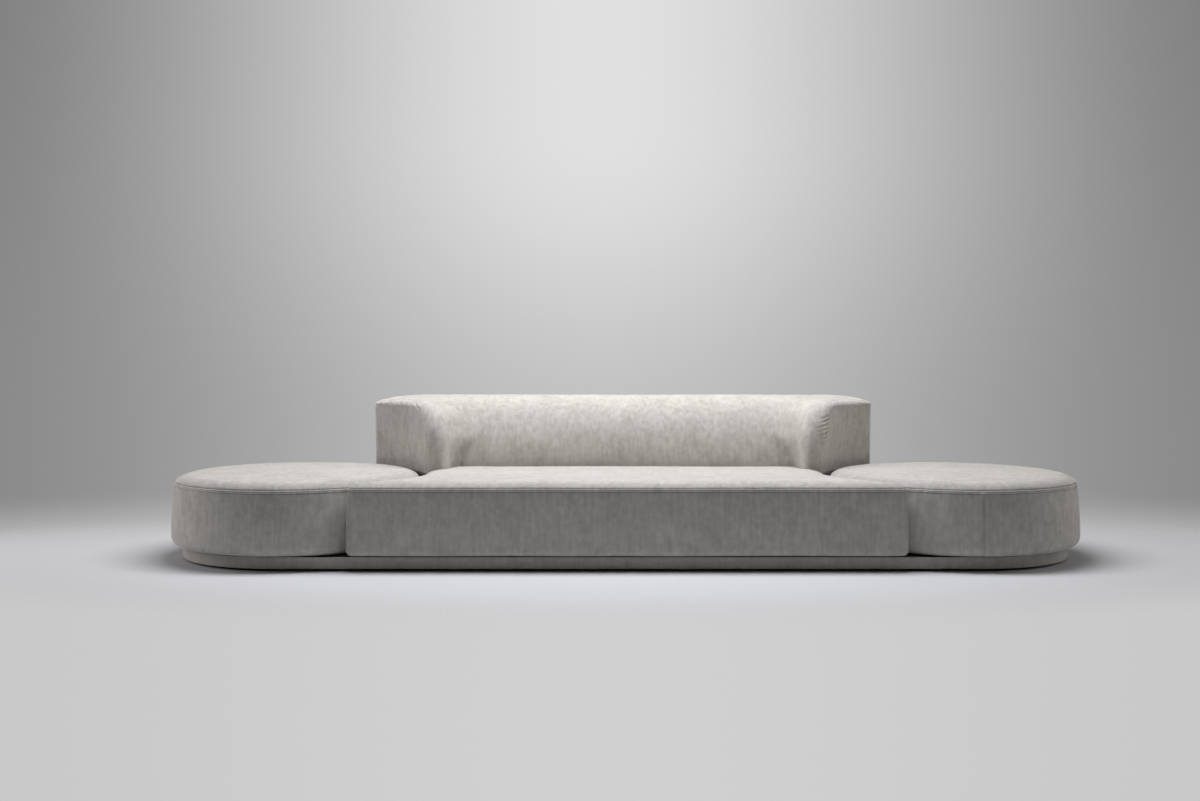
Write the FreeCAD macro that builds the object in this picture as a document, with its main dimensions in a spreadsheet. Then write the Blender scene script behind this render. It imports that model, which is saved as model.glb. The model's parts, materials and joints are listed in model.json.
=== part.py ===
import FreeCAD, Part
import math
import os
import re
import Sketcher

# A long sofa on a low plinth, with a fixed centre seat and back and a round seat that turns at each end.
# Millimetres. The floor is at Z 0, the sofa faces -Y, +X is to the right as seen from the front, and the
# origin is on the floor midway between the two swivel axes.

SIZES = {
    # Whole sofa
    "swivel_offset": 1605,
    # Plinth
    "plinth_inset": 55,
    "glide_height": 11,
    "glide_radius": 30,
    "glide_edge": 2,
    "plinth_rail_height": 35,
    "plinth_rail_thickness": 25,
    "plinth_deck_thickness": 18,
    "plinth_rib_width": 40,
    "plinth_rib_pitch": 480,
    "swivel_rib_offset": 150,
    "glide_edge_distance": 75,
    "cover_thickness": 2,
    "shadow_gap": 6,
    # Round seats
    "pouf_radius": 600,
    "pouf_side_height": 291,
    "pouf_lower_roll_inset": 35,
    "pouf_lower_roll_height": 45,
    "pouf_seam_inset": 15,
    "pouf_crown_run": 85,
    "pouf_crown_rise": 41,
    "pouf_dome_rise": 11,
    "pouf_padding": 45,
    "pouf_frame_height": 196,
    "pouf_board_thickness": 18,
    "pouf_rib_thickness": 18,
    "drum_thickness": 4,
    "hem_width": 20,
    # Swivel bearing
    "ball_radius": 3,
    "ball_count": 24,
    "plate_inner_radius": 120,
    "plate_outer_radius": 200,
    "plate_thickness": 2.5,
    "plate_screw_edge": 15,
    "plate_screw_count": 6,
    "plate_screw_radius": 2.5,
    "plate_screw_length": 14,
    "plate_screw_head_radius": 5,
    "plate_screw_head_height": 1.3,
    "pivot_radius": 10,
    "pivot_thread_radius": 8,
    "pivot_head_radius": 18,
    "pivot_head_height": 8,
    # Centre seat
    "swivel_gap": 9,
    "seat_front_inset": 30,
    "seat_rear_inset": 10,
    "front_nose_radius": 39,
    "rear_nose_radius": 32,
    "seat_side_height": 298,
    "seat_lower_roll_inset": 20,
    "seat_lower_roll_height": 30,
    "seat_seam_inset": 10,
    "seat_crown_run": 95,
    "seat_crown_rise": 35,
    "end_padding": 30,
    "frame_inset": 60,
    "frame_timber": 25,
    "frame_end_clearance": 5,
    "seat_frame_height": 186,
    "end_board_thickness": 18,
    "seat_rib_inner": 250,
    "seat_rib_pitch": 500,
    "webbing_width": 60,
    "webbing_thickness": 3,
    "webbing_end_margin": 38,
    "seat_strap_pairs": 7,
    # Back
    "back_sink": 18,
    "back_height": 375,
    "back_thickness": 335,
    "back_front_run": 230,
    "back_roll_rise": 51,
    "back_rear_run": 35,
    "back_end_run": 160,
    "wing_setback": 100,
    "wing_run": 300,
    "wing_width": 161,
    "wing_face_depth": 150,
    "wing_board_depth": 115,
    "wing_root_radius": 45,
    "wing_inner_radius": 35,
    "wing_outer_radius": 90,
    "wing_lean": 25,
    "back_corner_growth": 18,
    "back_rib_thickness": 18,
    "back_rib_inner": 350,
    "back_rib_wing_reach": 145,
    "back_front_padding": 125,
    "back_rib_bend": 600,
    "back_rib_slant": 30,
    "back_leg_depth": 60,
    "back_top_board_thickness": 18,
    "back_top_padding": 50,
    "back_board_margin": 50,
    "back_panel_thickness": 4,
    "back_strap_count": 3,
    "back_strap_pitch": 90,
    "back_strap_margin": 30,
    # Fasteners
    "seat_bolt_radius": 4,
    "seat_bolt_head_radius": 8,
    "seat_bolt_head_height": 5,
    "seat_bolt_grip": 46,
    "seat_bolt_y": 250,
    "join_bolt_radius": 5,
    "join_bolt_head_radius": 9,
    "join_bolt_head_height": 6,
    "join_bolt_inner_y": 120,
    "join_bolt_outer_y": 350,
    "glide_screw_radius": 2.5,
    "glide_screw_head_radius": 5.5,
    "glide_screw_head_height": 3,
    "glide_screw_sink": 2,
    "glide_screw_length": 30,
    "back_screw_radius": 2.5,
    "back_screw_head_radius": 5,
    "back_screw_head_height": 3,
    "back_screw_length": 60,
    "back_screw_lower": 40,
    "back_screw_pitch": 100,
    # Fits
    "ball_clearance": 0.05,
    "pivot_clearance": 0.08,
    "bolt_clearance": 0.25,
    "seat_clearance": 0.3,
    "soft_clearance": 0.4,
    "recess_clearance": 0.8,
    "pivot_head_room": 1.2,
    "screw_point_room": 2,
    # How far a cutting tool runs past the face that it cuts
    "overrun": 1,
}

LEVELS = {
    # Heights
    "deck_bottom": "glide_height + plinth_rail_height",
    "plinth_top": "deck_bottom + plinth_deck_thickness",
    "upholstery_bottom": "plinth_top + shadow_gap",
    "board_bottom": "upholstery_bottom + cover_thickness",
    "ball_level": "(plinth_top + board_bottom) / 2",
    "base_board_top": "board_bottom + pouf_board_thickness",
    "pouf_frame_top": "board_bottom + pouf_frame_height",
    "top_board_bottom": "pouf_frame_top - pouf_board_thickness",
    "pouf_seam": "upholstery_bottom + pouf_side_height",
    "seat_seam": "upholstery_bottom + seat_side_height",
    "seat_frame_top": "plinth_top + seat_frame_height",
    "seat_crown": "seat_seam + seat_crown_rise",
    "back_bottom": "seat_crown - back_sink",
    "back_top": "back_bottom + back_height",
    "back_seam": "back_top - back_roll_rise",
    "back_board_top": "back_top - back_top_padding",
    "back_rib_top": "back_board_top - back_top_board_thickness",
    # Reaches from the swivel axis
    "plinth_radius": "pouf_radius - plinth_inset",
    "plinth_inner": "plinth_radius - cover_thickness",
    "rail_inner": "plinth_inner - plinth_rail_thickness",
    "drum_radius": "pouf_radius - pouf_padding",
    "end_radius": "pouf_radius + swivel_gap",
    "race_radius": "(plate_inner_radius + plate_outer_radius) / 2",
    "lower_screw_circle": "plate_outer_radius - plate_screw_edge",
    "upper_screw_circle": "plate_inner_radius + plate_screw_edge",
    "end_board_radius": "end_radius + end_padding",
    "end_board_outer": "end_board_radius + end_board_thickness",
    # Reaches from the middle of the sofa
    "seat_front": "pouf_radius - seat_front_inset",
    "seat_rear": "pouf_radius - seat_rear_inset",
    "frame_reach": "pouf_radius - frame_inset",
    "frame_inner": "frame_reach - frame_timber",
    "rail_half_length": "swivel_offset - sqrt(end_board_radius ^ 2 - frame_inner ^ 2) - frame_end_clearance",
    "leg_front": "frame_inner - back_leg_depth",
    "webbing_pitch": "(swivel_offset - end_board_outer - webbing_end_margin) / seat_strap_pairs",
    "back_front": "seat_rear - back_thickness",
    "wing_root": "swivel_offset - end_radius - wing_width",
    "wing_board_front": "frame_inner - wing_board_depth",
    "back_rib_outer": "wing_root + back_rib_wing_reach",
    "back_rib_front": "back_front + back_front_padding",
    "back_rib_top_front": "back_rib_front + back_rib_slant",
}

doc = FreeCAD.newDocument("swivel_sofa")
sheet = doc.addObject("Spreadsheet::Sheet", "Sizes")
levels = doc.addObject("App::VarSet", "Levels")
sub_parts = []


def formula(text):
    """Spell out where each named size of a formula is kept."""

    def owner(match):
        word = match.group(0)
        if word in SIZES:
            return "Sizes." + word
        if word in LEVELS:
            return "Levels." + word
        return word

    return re.sub(r"[a-z_]+", owner, text)


def fill_sheet():
    """Driving sizes go into the sheet as plain numbers, and what follows from them into the variable set."""
    for row, (name, value) in enumerate(SIZES.items(), start=1):
        sheet.set("A%d" % row, name)
        sheet.set("B%d" % row, str(value))
        sheet.setAlias("B%d" % row, name)
    doc.recompute()
    for name, text in LEVELS.items():
        levels.addProperty("App::PropertyFloat", name)
        levels.setExpression(name, formula(text))
    doc.recompute()


def mm(name):
    """The present value of a named size or level."""
    owner = sheet if name in SIZES else levels
    return float(getattr(owner, name))


def vector(x, y, z=0.0):
    return FreeCAD.Vector(x, y, z)


# Primitives bound to the sheet


def primitive(kind, name, sizes, place, turn=None):
    """A Part primitive with its sizes and its place bound to formulas."""
    item = doc.addObject("Part::" + kind, name)
    if turn:
        item.Placement = FreeCAD.Placement(vector(0, 0, 0), turn)
    for size, text in sizes.items():
        item.setExpression(size, formula(text))
    for axis, text in zip("xyz", place):
        item.setExpression("Placement.Base." + axis, formula(text))
    return item


def block(name, x, y, z):
    """A box between two formulas along each axis."""
    sizes = {
        "Length": "(%s) - (%s)" % (x[1], x[0]),
        "Width": "(%s) - (%s)" % (y[1], y[0]),
        "Height": "(%s) - (%s)" % (z[1], z[0]),
    }
    return primitive("Box", name, sizes, (x[0], y[0], z[0]))


def rod(name, radius, length, place, turn=None):
    """A cylinder that starts at its place and runs up, or the way that turn sends it."""
    return primitive("Cylinder", name, {"Radius": radius, "Height": length}, place, turn)


def cut(name, base, tools):
    """The base less every tool."""
    group = doc.addObject("Part::MultiFuse", name + "_tools") if len(tools) > 1 else tools[0]
    if len(tools) > 1:
        group.Shapes = tools
    item = doc.addObject("Part::Cut", name)
    item.Base = base
    item.Tool = group
    return item


def fuse(name, items):
    item = doc.addObject("Part::MultiFuse", name)
    item.Shapes = items
    return item


def group_of(name, items):
    """Separate solids that share one node."""
    item = doc.addObject("Part::Compound", name)
    item.Links = items
    return item


def feature(name, shape):
    """A sub-part whose form no primitive has."""
    item = doc.addObject("Part::Feature", name)
    item.Shape = shape
    item.Placement = FreeCAD.Placement()
    return item


def sub_part(item, label):
    item.Label = label
    sub_parts.append(item)
    return item


def span(side, near, far):
    """The range of X between two distances from the middle, on the left (-1) or the right (1)."""
    return (near, far) if side > 0 else ("-(%s)" % far, "-(%s)" % near)


def times(side, text):
    return "%d * (%s)" % (side, text)


UP = None
DOWN = FreeCAD.Rotation(vector(1, 0, 0), 180)
ALONG_X = FreeCAD.Rotation(vector(0, 1, 0), 90)
TOWARDS_FRONT = FreeCAD.Rotation(vector(1, 0, 0), 90)


# Sketched bodies


def plane_of(body, role):
    return [item for item in body.Origin.OriginFeatures if item.Role == role][0]


def polygon_sketch(body, name, role, corners):
    """A closed outline whose corners each have both coordinates bound to formulas."""
    sketch = body.newObject("Sketcher::SketchObject", name)
    sketch.AttachmentSupport = [(plane_of(body, role), "")]
    sketch.MapMode = "FlatFace"
    count = len(corners)
    for index in range(count):
        start = 2 * math.pi * index / count
        end = 2 * math.pi * (index + 1) / count
        first = vector(math.cos(start), math.sin(start))
        last = vector(math.cos(end), math.sin(end))
        sketch.addGeometry(Part.LineSegment(first, last), False)
    for index in range(count):
        sketch.addConstraint(Sketcher.Constraint("Coincident", index, 2, (index + 1) % count, 1))
    for index, corner in enumerate(corners):
        for direction, text in zip(("DistanceX", "DistanceY"), corner):
            number = sketch.addConstraint(Sketcher.Constraint(direction, index, 1, 1.0))
            sketch.setExpression("Constraints[%d]" % number, formula(text))
    return sketch


def circle_sketch(body, name, role, radius, x, y="0"):
    sketch = body.newObject("Sketcher::SketchObject", name)
    sketch.AttachmentSupport = [(plane_of(body, role), "")]
    sketch.MapMode = "FlatFace"
    sketch.addGeometry(Part.Circle(vector(1, 1), vector(0, 0, 1), 1), False)
    bindings = (("Radius", radius), ("DistanceX", x), ("DistanceY", y))
    for kind, text in bindings:
        where = (0,) if kind == "Radius" else (0, 3)
        number = sketch.addConstraint(Sketcher.Constraint(kind, *where, 1.0))
        sketch.setExpression("Constraints[%d]" % number, formula(text))
    return sketch


def turned_body(name, corners):
    """A body turned about its own Z axis from an outline of radius and height."""
    body = doc.addObject("PartDesign::Body", name)
    sketch = polygon_sketch(body, name + "_outline", "XZ_Plane", corners)
    turning = body.newObject("PartDesign::Revolution", name + "_turning")
    turning.Profile = sketch
    turning.ReferenceAxis = (sketch, ["V_Axis"])
    turning.Angle = 360
    doc.recompute()
    return body


def drill_ring(body, name, radius, circle, count):
    """Through holes on a circle about the body's own Z axis."""
    sketch = circle_sketch(body, name + "_hole", "XY_Plane", radius, circle)
    pocket = body.newObject("PartDesign::Pocket", name + "_pocket")
    pocket.Profile = sketch
    pocket.Type = "ThroughAll"
    pocket.Midplane = True
    doc.recompute()
    pattern = body.newObject("PartDesign::PolarPattern", name + "_pattern")
    pattern.Originals = [pocket]
    pattern.Axis = (sketch, ["N_Axis"])
    pattern.Angle = 360
    pattern.setExpression("Occurrences", formula(count))
    body.Tip = pattern
    doc.recompute()


def place_at(item, x, y, z):
    for axis, text in zip("xyz", (x, y, z)):
        item.setExpression("Placement.Base." + axis, formula(text))
    return item


# Plinth

JOIN_BOLT_ROWS = ("join_bolt_inner_y", "-join_bolt_inner_y", "join_bolt_outer_y", "-join_bolt_outer_y")


def half_stadium(name, side, radius, bottom, top):
    """One half of a slab with straight sides and a round end about the swivel axis."""
    straight = block(name + "_straight", span(side, "0", "swivel_offset"), ("-(%s)" % radius, radius),
                     (bottom, top))
    end = rod(name + "_end", radius, "(%s) - (%s)" % (top, bottom),
              (times(side, "swivel_offset"), "0", bottom))
    return fuse(name, [straight, end])


def seat_bolt_places(side):
    """Bolts stand under the seat ribs, two to a rib."""
    return [(times(side, "seat_rib_inner + %d * seat_rib_pitch" % step), times(end, "seat_bolt_y"))
            for step in (0, 1) for end in (-1, 1)]


def glide_places(side):
    """Two pairs near the long edges and one under the round end."""
    edge = "rail_inner - glide_edge_distance + glide_radius"
    inner = times(side, "plinth_rib_pitch + plinth_rib_width / 2")
    outer = times(side, "swivel_offset - swivel_rib_offset")
    spur = times(side, "swivel_offset + rail_inner - glide_edge_distance")
    return [(inner, times(end, edge)) for end in (-1, 1)] + [
        (outer, times(end, edge)) for end in (-1, 1)] + [(spur, "0")]


def ring_places(radius, count, side):
    """Places on a circle about a swivel axis."""
    places = []
    for index in range(count):
        angle = "%d * 360deg / %d" % (index, count)
        places.append(("%d * swivel_offset + %s * cos(%s)" % (side, radius, angle),
                       "%s * sin(%s)" % (radius, angle)))
    return places


def make_deck(side, word):
    slab = half_stadium(word + "_deck_slab", side, "plinth_inner", "deck_bottom", "plinth_top")
    below = "deck_bottom - overrun"
    through = "plinth_deck_thickness + 2 * overrun"
    holes = [rod("%s_deck_pivot_hole" % word, "pivot_thread_radius + bolt_clearance", through,
                 (times(side, "swivel_offset"), "0", below))]
    for index, (x, y) in enumerate(seat_bolt_places(side)):
        holes.append(rod("%s_deck_bolt_hole_%d" % (word, index), "seat_bolt_radius + bolt_clearance",
                         through, (x, y, below)))
    for index, (x, y) in enumerate(ring_places("lower_screw_circle", SIZES["plate_screw_count"], side)):
        holes.append(rod("%s_deck_screw_hole_%d" % (word, index), "plate_screw_radius + bolt_clearance",
                         through, (x, y, below)))
    sub_part(cut(word + "_deck", slab, holes), "plinth_deck_" + word)


def make_plinth_rim(side, word):
    """Straight rails and two bent quarters under the edge of the deck."""
    z = ("glide_height", "deck_bottom")
    for end, where in ((-1, "front"), (1, "rear")):
        y = ("rail_inner", "plinth_inner") if end > 0 else ("-plinth_inner", "-rail_inner")
        rail = block("%s_%s_rail" % (word, where), span(side, "0", "swivel_offset"), y, z)
        sub_part(rail, "plinth_%s_rail_%s" % (where, word))
        quarter = {(1, 1): 0, (-1, 1): 90, (-1, -1): 180, (1, -1): 270}[(side, end)]
        turn = FreeCAD.Rotation(vector(0, 0, 1), quarter)
        place = (times(side, "swivel_offset"), "0", "glide_height")
        outer = primitive("Cylinder", "%s_%s_arc_outer" % (word, where),
                          {"Radius": "plinth_inner", "Height": "plinth_rail_height"}, place, turn)
        outer.Angle = 90
        inner = rod("%s_%s_arc_inner" % (word, where), "rail_inner", "plinth_rail_height", place)
        arc = cut("%s_%s_arc" % (word, where), outer, [inner])
        sub_part(arc, "plinth_%s_arc_%s" % (where, word))


def make_plinth_ribs(side, word):
    """Cross ribs under the deck, the pair under the bearing, and the spur to the round end."""
    z = ("glide_height", "deck_bottom")
    half = "plinth_rib_width / 2"
    screw_holes = []
    depth = "glide_screw_sink + glide_screw_length + screw_point_room - glide_height + overrun"
    for index, (x, y) in enumerate(glide_places(side)):
        screw_holes.append(rod("%s_rib_screw_hole_%d" % (word, index), "glide_screw_radius + bolt_clearance",
                               depth, (x, y, "glide_height - overrun")))
    join_holes = []
    start = "-overrun" if side > 0 else "-plinth_rib_width - overrun"
    for index, y in enumerate(JOIN_BOLT_ROWS):
        join_holes.append(rod("%s_join_hole_%d" % (word, index), "join_bolt_radius + bolt_clearance",
                              "plinth_rib_width + 2 * overrun",
                              (start, y, "glide_height + plinth_rail_height / 2"), ALONG_X))
    reach = ("-rail_inner", "rail_inner")
    corner = "sqrt(rail_inner ^ 2 - (swivel_rib_offset + %s) ^ 2)" % half
    join = cut(word + "_join_rib",
               block(word + "_join_block", span(side, "0", "plinth_rib_width"), reach, z), join_holes)
    inner = block(word + "_rib_inner", span(side, "plinth_rib_pitch", "plinth_rib_pitch + plinth_rib_width"),
                  reach, z)
    middle = block(word + "_rib_middle",
                   span(side, "2 * plinth_rib_pitch", "2 * plinth_rib_pitch + plinth_rib_width"), reach, z)
    near = block(word + "_rib_near",
                 span(side, "swivel_offset - swivel_rib_offset - %s" % half,
                      "swivel_offset - swivel_rib_offset + %s" % half), reach, z)
    far = block(word + "_rib_far",
                span(side, "swivel_offset + swivel_rib_offset - %s" % half,
                     "swivel_offset + swivel_rib_offset + %s" % half), ("-" + corner, corner), z)
    spur = block(word + "_rib_spur",
                 span(side, "swivel_offset + swivel_rib_offset + %s" % half,
                      "swivel_offset + sqrt(rail_inner ^ 2 - (%s) ^ 2)" % half), ("-" + half, half), z)
    drilled = [cut(word + "_rib_inner_drilled", inner, screw_holes[0:2]),
               cut(word + "_rib_near_drilled", near, screw_holes[2:4]),
               cut(word + "_rib_spur_drilled", spur, screw_holes[4:5])]
    sub_part(group_of(word + "_ribs", [join, middle, far] + drilled), "plinth_ribs_" + word)


def make_plinth_cover(side, word):
    outer = half_stadium(word + "_band_outer", side, "plinth_radius", "glide_height", "plinth_top")
    inner = half_stadium(word + "_band_inner", side, "plinth_inner", "glide_height - overrun",
                         "plinth_top + overrun")
    sub_part(cut(word + "_band", outer, [inner]), "plinth_cover_" + word)


def screw(name, place, turn, head, shank, back_off):
    """A headed screw. The head starts at the place, and the shank runs on along turn."""
    head_radius, head_height = head
    shank_radius, shank_length = shank
    cap = rod(name + "_head", head_radius, head_height, place, turn)
    stem = rod(name + "_shank", shank_radius, shank_length, back_off, turn)
    return fuse(name, [cap, stem])


def make_glides():
    glides = []
    screws = []
    head = ("glide_screw_head_radius", "glide_screw_head_height")
    shank = ("glide_screw_radius", "glide_screw_length")
    for side, word in ((-1, "left"), (1, "right")):
        for index, (x, y) in enumerate(glide_places(side)):
            name = "%s_glide_%d" % (word, index)
            foot = primitive("Cone", name + "_foot", {"Radius1": "glide_radius - glide_edge",
                                                      "Radius2": "glide_radius", "Height": "glide_edge"},
                             (x, y, "0"))
            disc = rod(name + "_disc", "glide_radius", "glide_height - glide_edge", (x, y, "glide_edge"))
            sink = rod(name + "_sink", "glide_screw_head_radius + bolt_clearance",
                       "glide_screw_sink + glide_screw_head_height + overrun", (x, y, "-overrun"))
            bore = rod(name + "_bore", "glide_screw_radius + bolt_clearance", "glide_height + 2 * overrun",
                       (x, y, "-overrun"))
            glides.append(cut(name, fuse(name + "_solid", [foot, disc]), [sink, bore]))
            place = (x, y, "glide_screw_sink")
            screws.append(screw(name + "_screw", place, UP, head, shank, place))
    sub_part(group_of("glide_group", glides), "glides")
    sub_part(group_of("glide_screw_group", screws), "glide_screws")


def make_join_bolts():
    """Bolts through the two ribs that meet at the middle, with a nut on the far side."""
    bolts = []
    level = "glide_height + plinth_rail_height / 2"
    for index, y in enumerate(JOIN_BOLT_ROWS):
        name = "join_bolt_%d" % index
        head = rod(name + "_head", "join_bolt_head_radius", "join_bolt_head_height",
                   ("-plinth_rib_width - join_bolt_head_height", y, level), ALONG_X)
        shank = rod(name + "_shank", "join_bolt_radius", "2 * plinth_rib_width",
                    ("-plinth_rib_width", y, level), ALONG_X)
        nut = rod(name + "_nut", "join_bolt_head_radius", "join_bolt_head_height",
                  ("plinth_rib_width", y, level), ALONG_X)
        bolts.append(fuse(name, [head, shank, nut]))
    sub_part(group_of("join_bolt_group", bolts), "plinth_join_bolts")


# Plans of the upholstered forms


def nose(line_y, radius, end_radius):
    """A round corner that touches a straight front or rear line and the hollow end circle.

    Gives the point on the line, the middle of the corner and the point on the end circle."""
    offset = mm("swivel_offset")
    centre_y = line_y - math.copysign(radius, line_y)
    reach = end_radius + radius
    centre_x = offset - math.sqrt(reach ** 2 - centre_y ** 2)
    to_end = ((offset - centre_x) / reach, -centre_y / reach)
    middle = (to_end[0], to_end[1] + math.copysign(1.0, line_y))
    length = math.hypot(*middle)
    crown = (centre_x + radius * middle[0] / length, centre_y + radius * middle[1] / length)
    on_end = (centre_x + radius * to_end[0], centre_y + radius * to_end[1])
    return (centre_x, line_y), crown, on_end


def middle_of_end(first, last, end_radius):
    """The point halfway along the end circle between two points on it."""
    offset = mm("swivel_offset")
    start = math.atan2(first[1], first[0] - offset)
    end = math.atan2(last[1], last[0] - offset)
    angle = (start % (2 * math.pi) + end % (2 * math.pi)) / 2
    return offset + end_radius * math.cos(angle), end_radius * math.sin(angle)


def edge_through(points, height):
    corners = [vector(x, y, height) for x, y in points]
    if len(corners) == 2:
        return Part.LineSegment(*corners).toShape()
    return Part.Arc(*corners).toShape()


def closed_plan(strokes, height):
    """A closed plan from its right half, a list of lines and arcs from the front middle to the rear."""
    right = [edge_through(points, height) for points in strokes]
    left = [edge_through([(-x, y) for x, y in reversed(points)], height) for points in reversed(strokes)]
    return Part.Wire(right + left)


def seat_outline(front, rear, end_radius, front_nose, rear_nose, height):
    """Straight front and rear, hollow ends about the swivel axes and blunt noses between them."""
    front_line, front_crown, front_end = nose(-front, front_nose, end_radius)
    rear_line, rear_crown, rear_end = nose(rear, rear_nose, end_radius)
    hollow = middle_of_end(front_end, rear_end, end_radius)
    strokes = [[(0, -front), front_line], [front_line, front_crown, front_end],
               [front_end, hollow, rear_end], [rear_end, rear_crown, rear_line], [rear_line, (0, rear)]]
    return closed_plan(strokes, height)


# No corner in a plan is sharper than this, in millimetres
SHARPEST_NOSE = 4.0


def seat_plan(inset, height):
    return seat_outline(mm("seat_front") - inset, mm("seat_rear") - inset, mm("end_radius") + inset,
                        max(mm("front_nose_radius") - inset, SHARPEST_NOSE),
                        max(mm("rear_nose_radius") - inset, SHARPEST_NOSE), height)


# The power of an ellipse, and of the fuller curve up the front of a wing
ROUND = 2.0
FULLER = 3.0


def quarter_round(height, start, top, power=ROUND):
    """How much of its run a quarter of an ellipse has covered at a height, from 0 at the start to 1."""
    part = min(max((height - start) / (top - start), 0.0), 1.0)
    return 1 - (1 - part ** power) ** (1 / power)


def wing_tip_line(height, lowered):
    """The foremost line of the wings at a height: it leans back and then over the top."""
    over = quarter_round(height, mm("seat_crown"), mm("back_top") - lowered, FULLER)
    return mm("wing_setback") + mm("wing_run") * over


def wing_face(tip, rear, end_radius, inset):
    """Where the flat outer face of a wing leaves the hollow end, and the angle of its square direction."""
    share = mm("wing_face_depth") / (mm("seat_rear") - mm("wing_setback"))
    turn = math.asin((tip + share * (rear - tip)) / end_radius)
    reach = end_radius + inset
    return (mm("swivel_offset") - reach * math.cos(turn), reach * math.sin(turn)), turn


def back_plan(inset, height, lowered=0.0):
    """A wall across the rear with a wing forward at each end, all of it curving over towards the top.

    inset moves the whole outline inwards, and lowered says how much lower the top is."""
    top = mm("back_top") - lowered
    rise = min(max((height - mm("back_bottom")) / (mm("back_seam") - mm("back_bottom")), 0.0), 1.0)
    over = quarter_round(height, mm("back_seam"), top)
    front = mm("back_front") + mm("back_front_run") * quarter_round(height, mm("seat_crown"), top) + inset
    tip = wing_tip_line(height, lowered)
    end_radius = mm("end_radius") - mm("wing_lean") * rise + mm("back_end_run") * over
    rear = mm("seat_rear") - mm("back_rear_run") * over
    joint, turn = wing_face(tip, rear, end_radius, inset)
    tip += inset
    end_radius += inset
    rear -= inset
    root_radius = mm("wing_root_radius") + inset
    inner_radius = max(mm("wing_inner_radius") - inset, SHARPEST_NOSE)
    outer_radius = max(mm("wing_outer_radius") - inset, SHARPEST_NOSE)
    rear_nose = max(mm("rear_nose_radius") + mm("back_corner_growth") * (rise - over) - inset, SHARPEST_NOSE)
    tip_line, tip_crown, face_start = wing_nose(tip, outer_radius, joint, turn)
    bends = wing_bends(front, root_radius, tip, inner_radius, tip_line[0])
    rear_line, rear_crown, rear_end = nose(rear, rear_nose, end_radius)
    hollow = middle_of_end(joint, rear_end, end_radius)
    strokes = [[(0, front), bends[0][0]]] + bends + [
        [tip_line, tip_crown, face_start],
        [face_start, joint],
        [joint, hollow, rear_end],
        [rear_end, rear_crown, rear_line],
        [rear_line, (0, rear)],
    ]
    return closed_plan(strokes, height)


def wing_nose(tip, radius, joint, turn):
    """The outer half of the tip of a wing: from its foremost point round to its flat outer face."""
    centre_y = tip + radius
    centre_x = joint[0] - (radius + math.sin(turn) * (joint[1] - centre_y)) / math.cos(turn)

    def on_nose(angle):
        return centre_x + radius * math.cos(angle), centre_y - radius * math.sin(angle)

    return (centre_x, tip), on_nose((math.pi / 2 + turn) / 2), on_nose(turn)


def wing_bends(front, root_radius, tip, inner_radius, tip_x):
    """The inner side of a wing: a hollow bend off the front line, a slant and a round bend to the tip."""
    root_x = mm("wing_root")
    run = tip_x - root_x
    drop = front - tip
    radii = root_radius + inner_radius
    # The slant for which the line touches both bends
    apart = math.hypot(run, drop - radii)
    slant = math.asin(radii / apart) + math.atan2(drop - radii, run)

    def bend(x, y, radius, angle):
        return x + radius * math.sin(angle), y + radius * math.cos(angle)

    root = (root_x, front - root_radius, root_radius)
    nose_centre = (tip_x, tip + inner_radius)
    hollow = [(root_x, front), bend(*root, slant / 2), bend(*root, slant)]
    round_start = bend(*nose_centre, -inner_radius, slant)
    rounded = [round_start, bend(*nose_centre, -inner_radius, slant / 2), (tip_x, tip)]
    return [hollow, [hollow[-1], round_start], rounded]


ROLL_STEPS = 4
FRONT_STEPS = 5


def cushion_profile(lower, upper, skin):
    """Heights and insets up the side of a stuffed form: lower roll, drawn-in side, seam and crown roll.

    lower is bottom, inset and height of the lower roll. upper is height and inset of the seam, and run and
    rise of the crown roll. skin moves each point that far inwards, square to the surface."""
    bottom, roll_inset, roll_height = lower
    seam, seam_inset, run, rise = upper
    rows = []
    for step in range(ROLL_STEPS + 1):
        turn = math.pi / 2 * step / ROLL_STEPS
        rows.append((bottom + roll_height * (1 - math.cos(turn)) + skin * math.cos(turn),
                     roll_inset * (1 - math.sin(turn)) + skin * math.sin(turn)))
    rows.append(((bottom + roll_height + seam) / 2, seam_inset / 4 + skin))
    for step in range(ROLL_STEPS + 1):
        turn = math.pi / 2 * step / ROLL_STEPS
        rows.append((seam + rise * math.sin(turn) - skin * math.sin(turn),
                     seam_inset + run * (1 - math.cos(turn)) + skin * math.cos(turn)))
    return rows


def seat_rows(skin):
    lower = (mm("upholstery_bottom"), mm("seat_lower_roll_inset"), mm("seat_lower_roll_height"))
    upper = (mm("seat_seam"), mm("seat_seam_inset"), mm("seat_crown_run"), mm("seat_crown_rise"))
    return cushion_profile(lower, upper, skin)


def back_rows(skin, bottom):
    """Heights up the back: its foot, the slow curve of the front, the seam and the roll round the top."""
    crown = mm("seat_crown")
    seam = mm("back_seam")
    top = mm("back_top") - skin
    heights = [bottom, crown]
    for step in range(1, FRONT_STEPS):
        heights.append(crown + (seam - crown) * math.sin(math.pi / 2 * step / FRONT_STEPS))
    for step in range(ROLL_STEPS + 1):
        heights.append(seam + (top - seam) * math.sin(math.pi / 2 * step / ROLL_STEPS))
    return heights


def back_form(skin, bottom):
    """The stuffed form of the back, skin inside its outer surface."""
    return Part.makeLoft([back_plan(skin, height, skin) for height in back_rows(skin, bottom)], True, True)


def lofted(plan, rows):
    return Part.makeLoft([plan(inset, height) for height, inset in rows], True, True)


def prism(wire, height):
    return Part.Face(wire).extrude(vector(0, 0, height))


def box_between(low, high):
    return Part.makeBox(high[0] - low[0], high[1] - low[1], high[2] - low[2], vector(*low))


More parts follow.
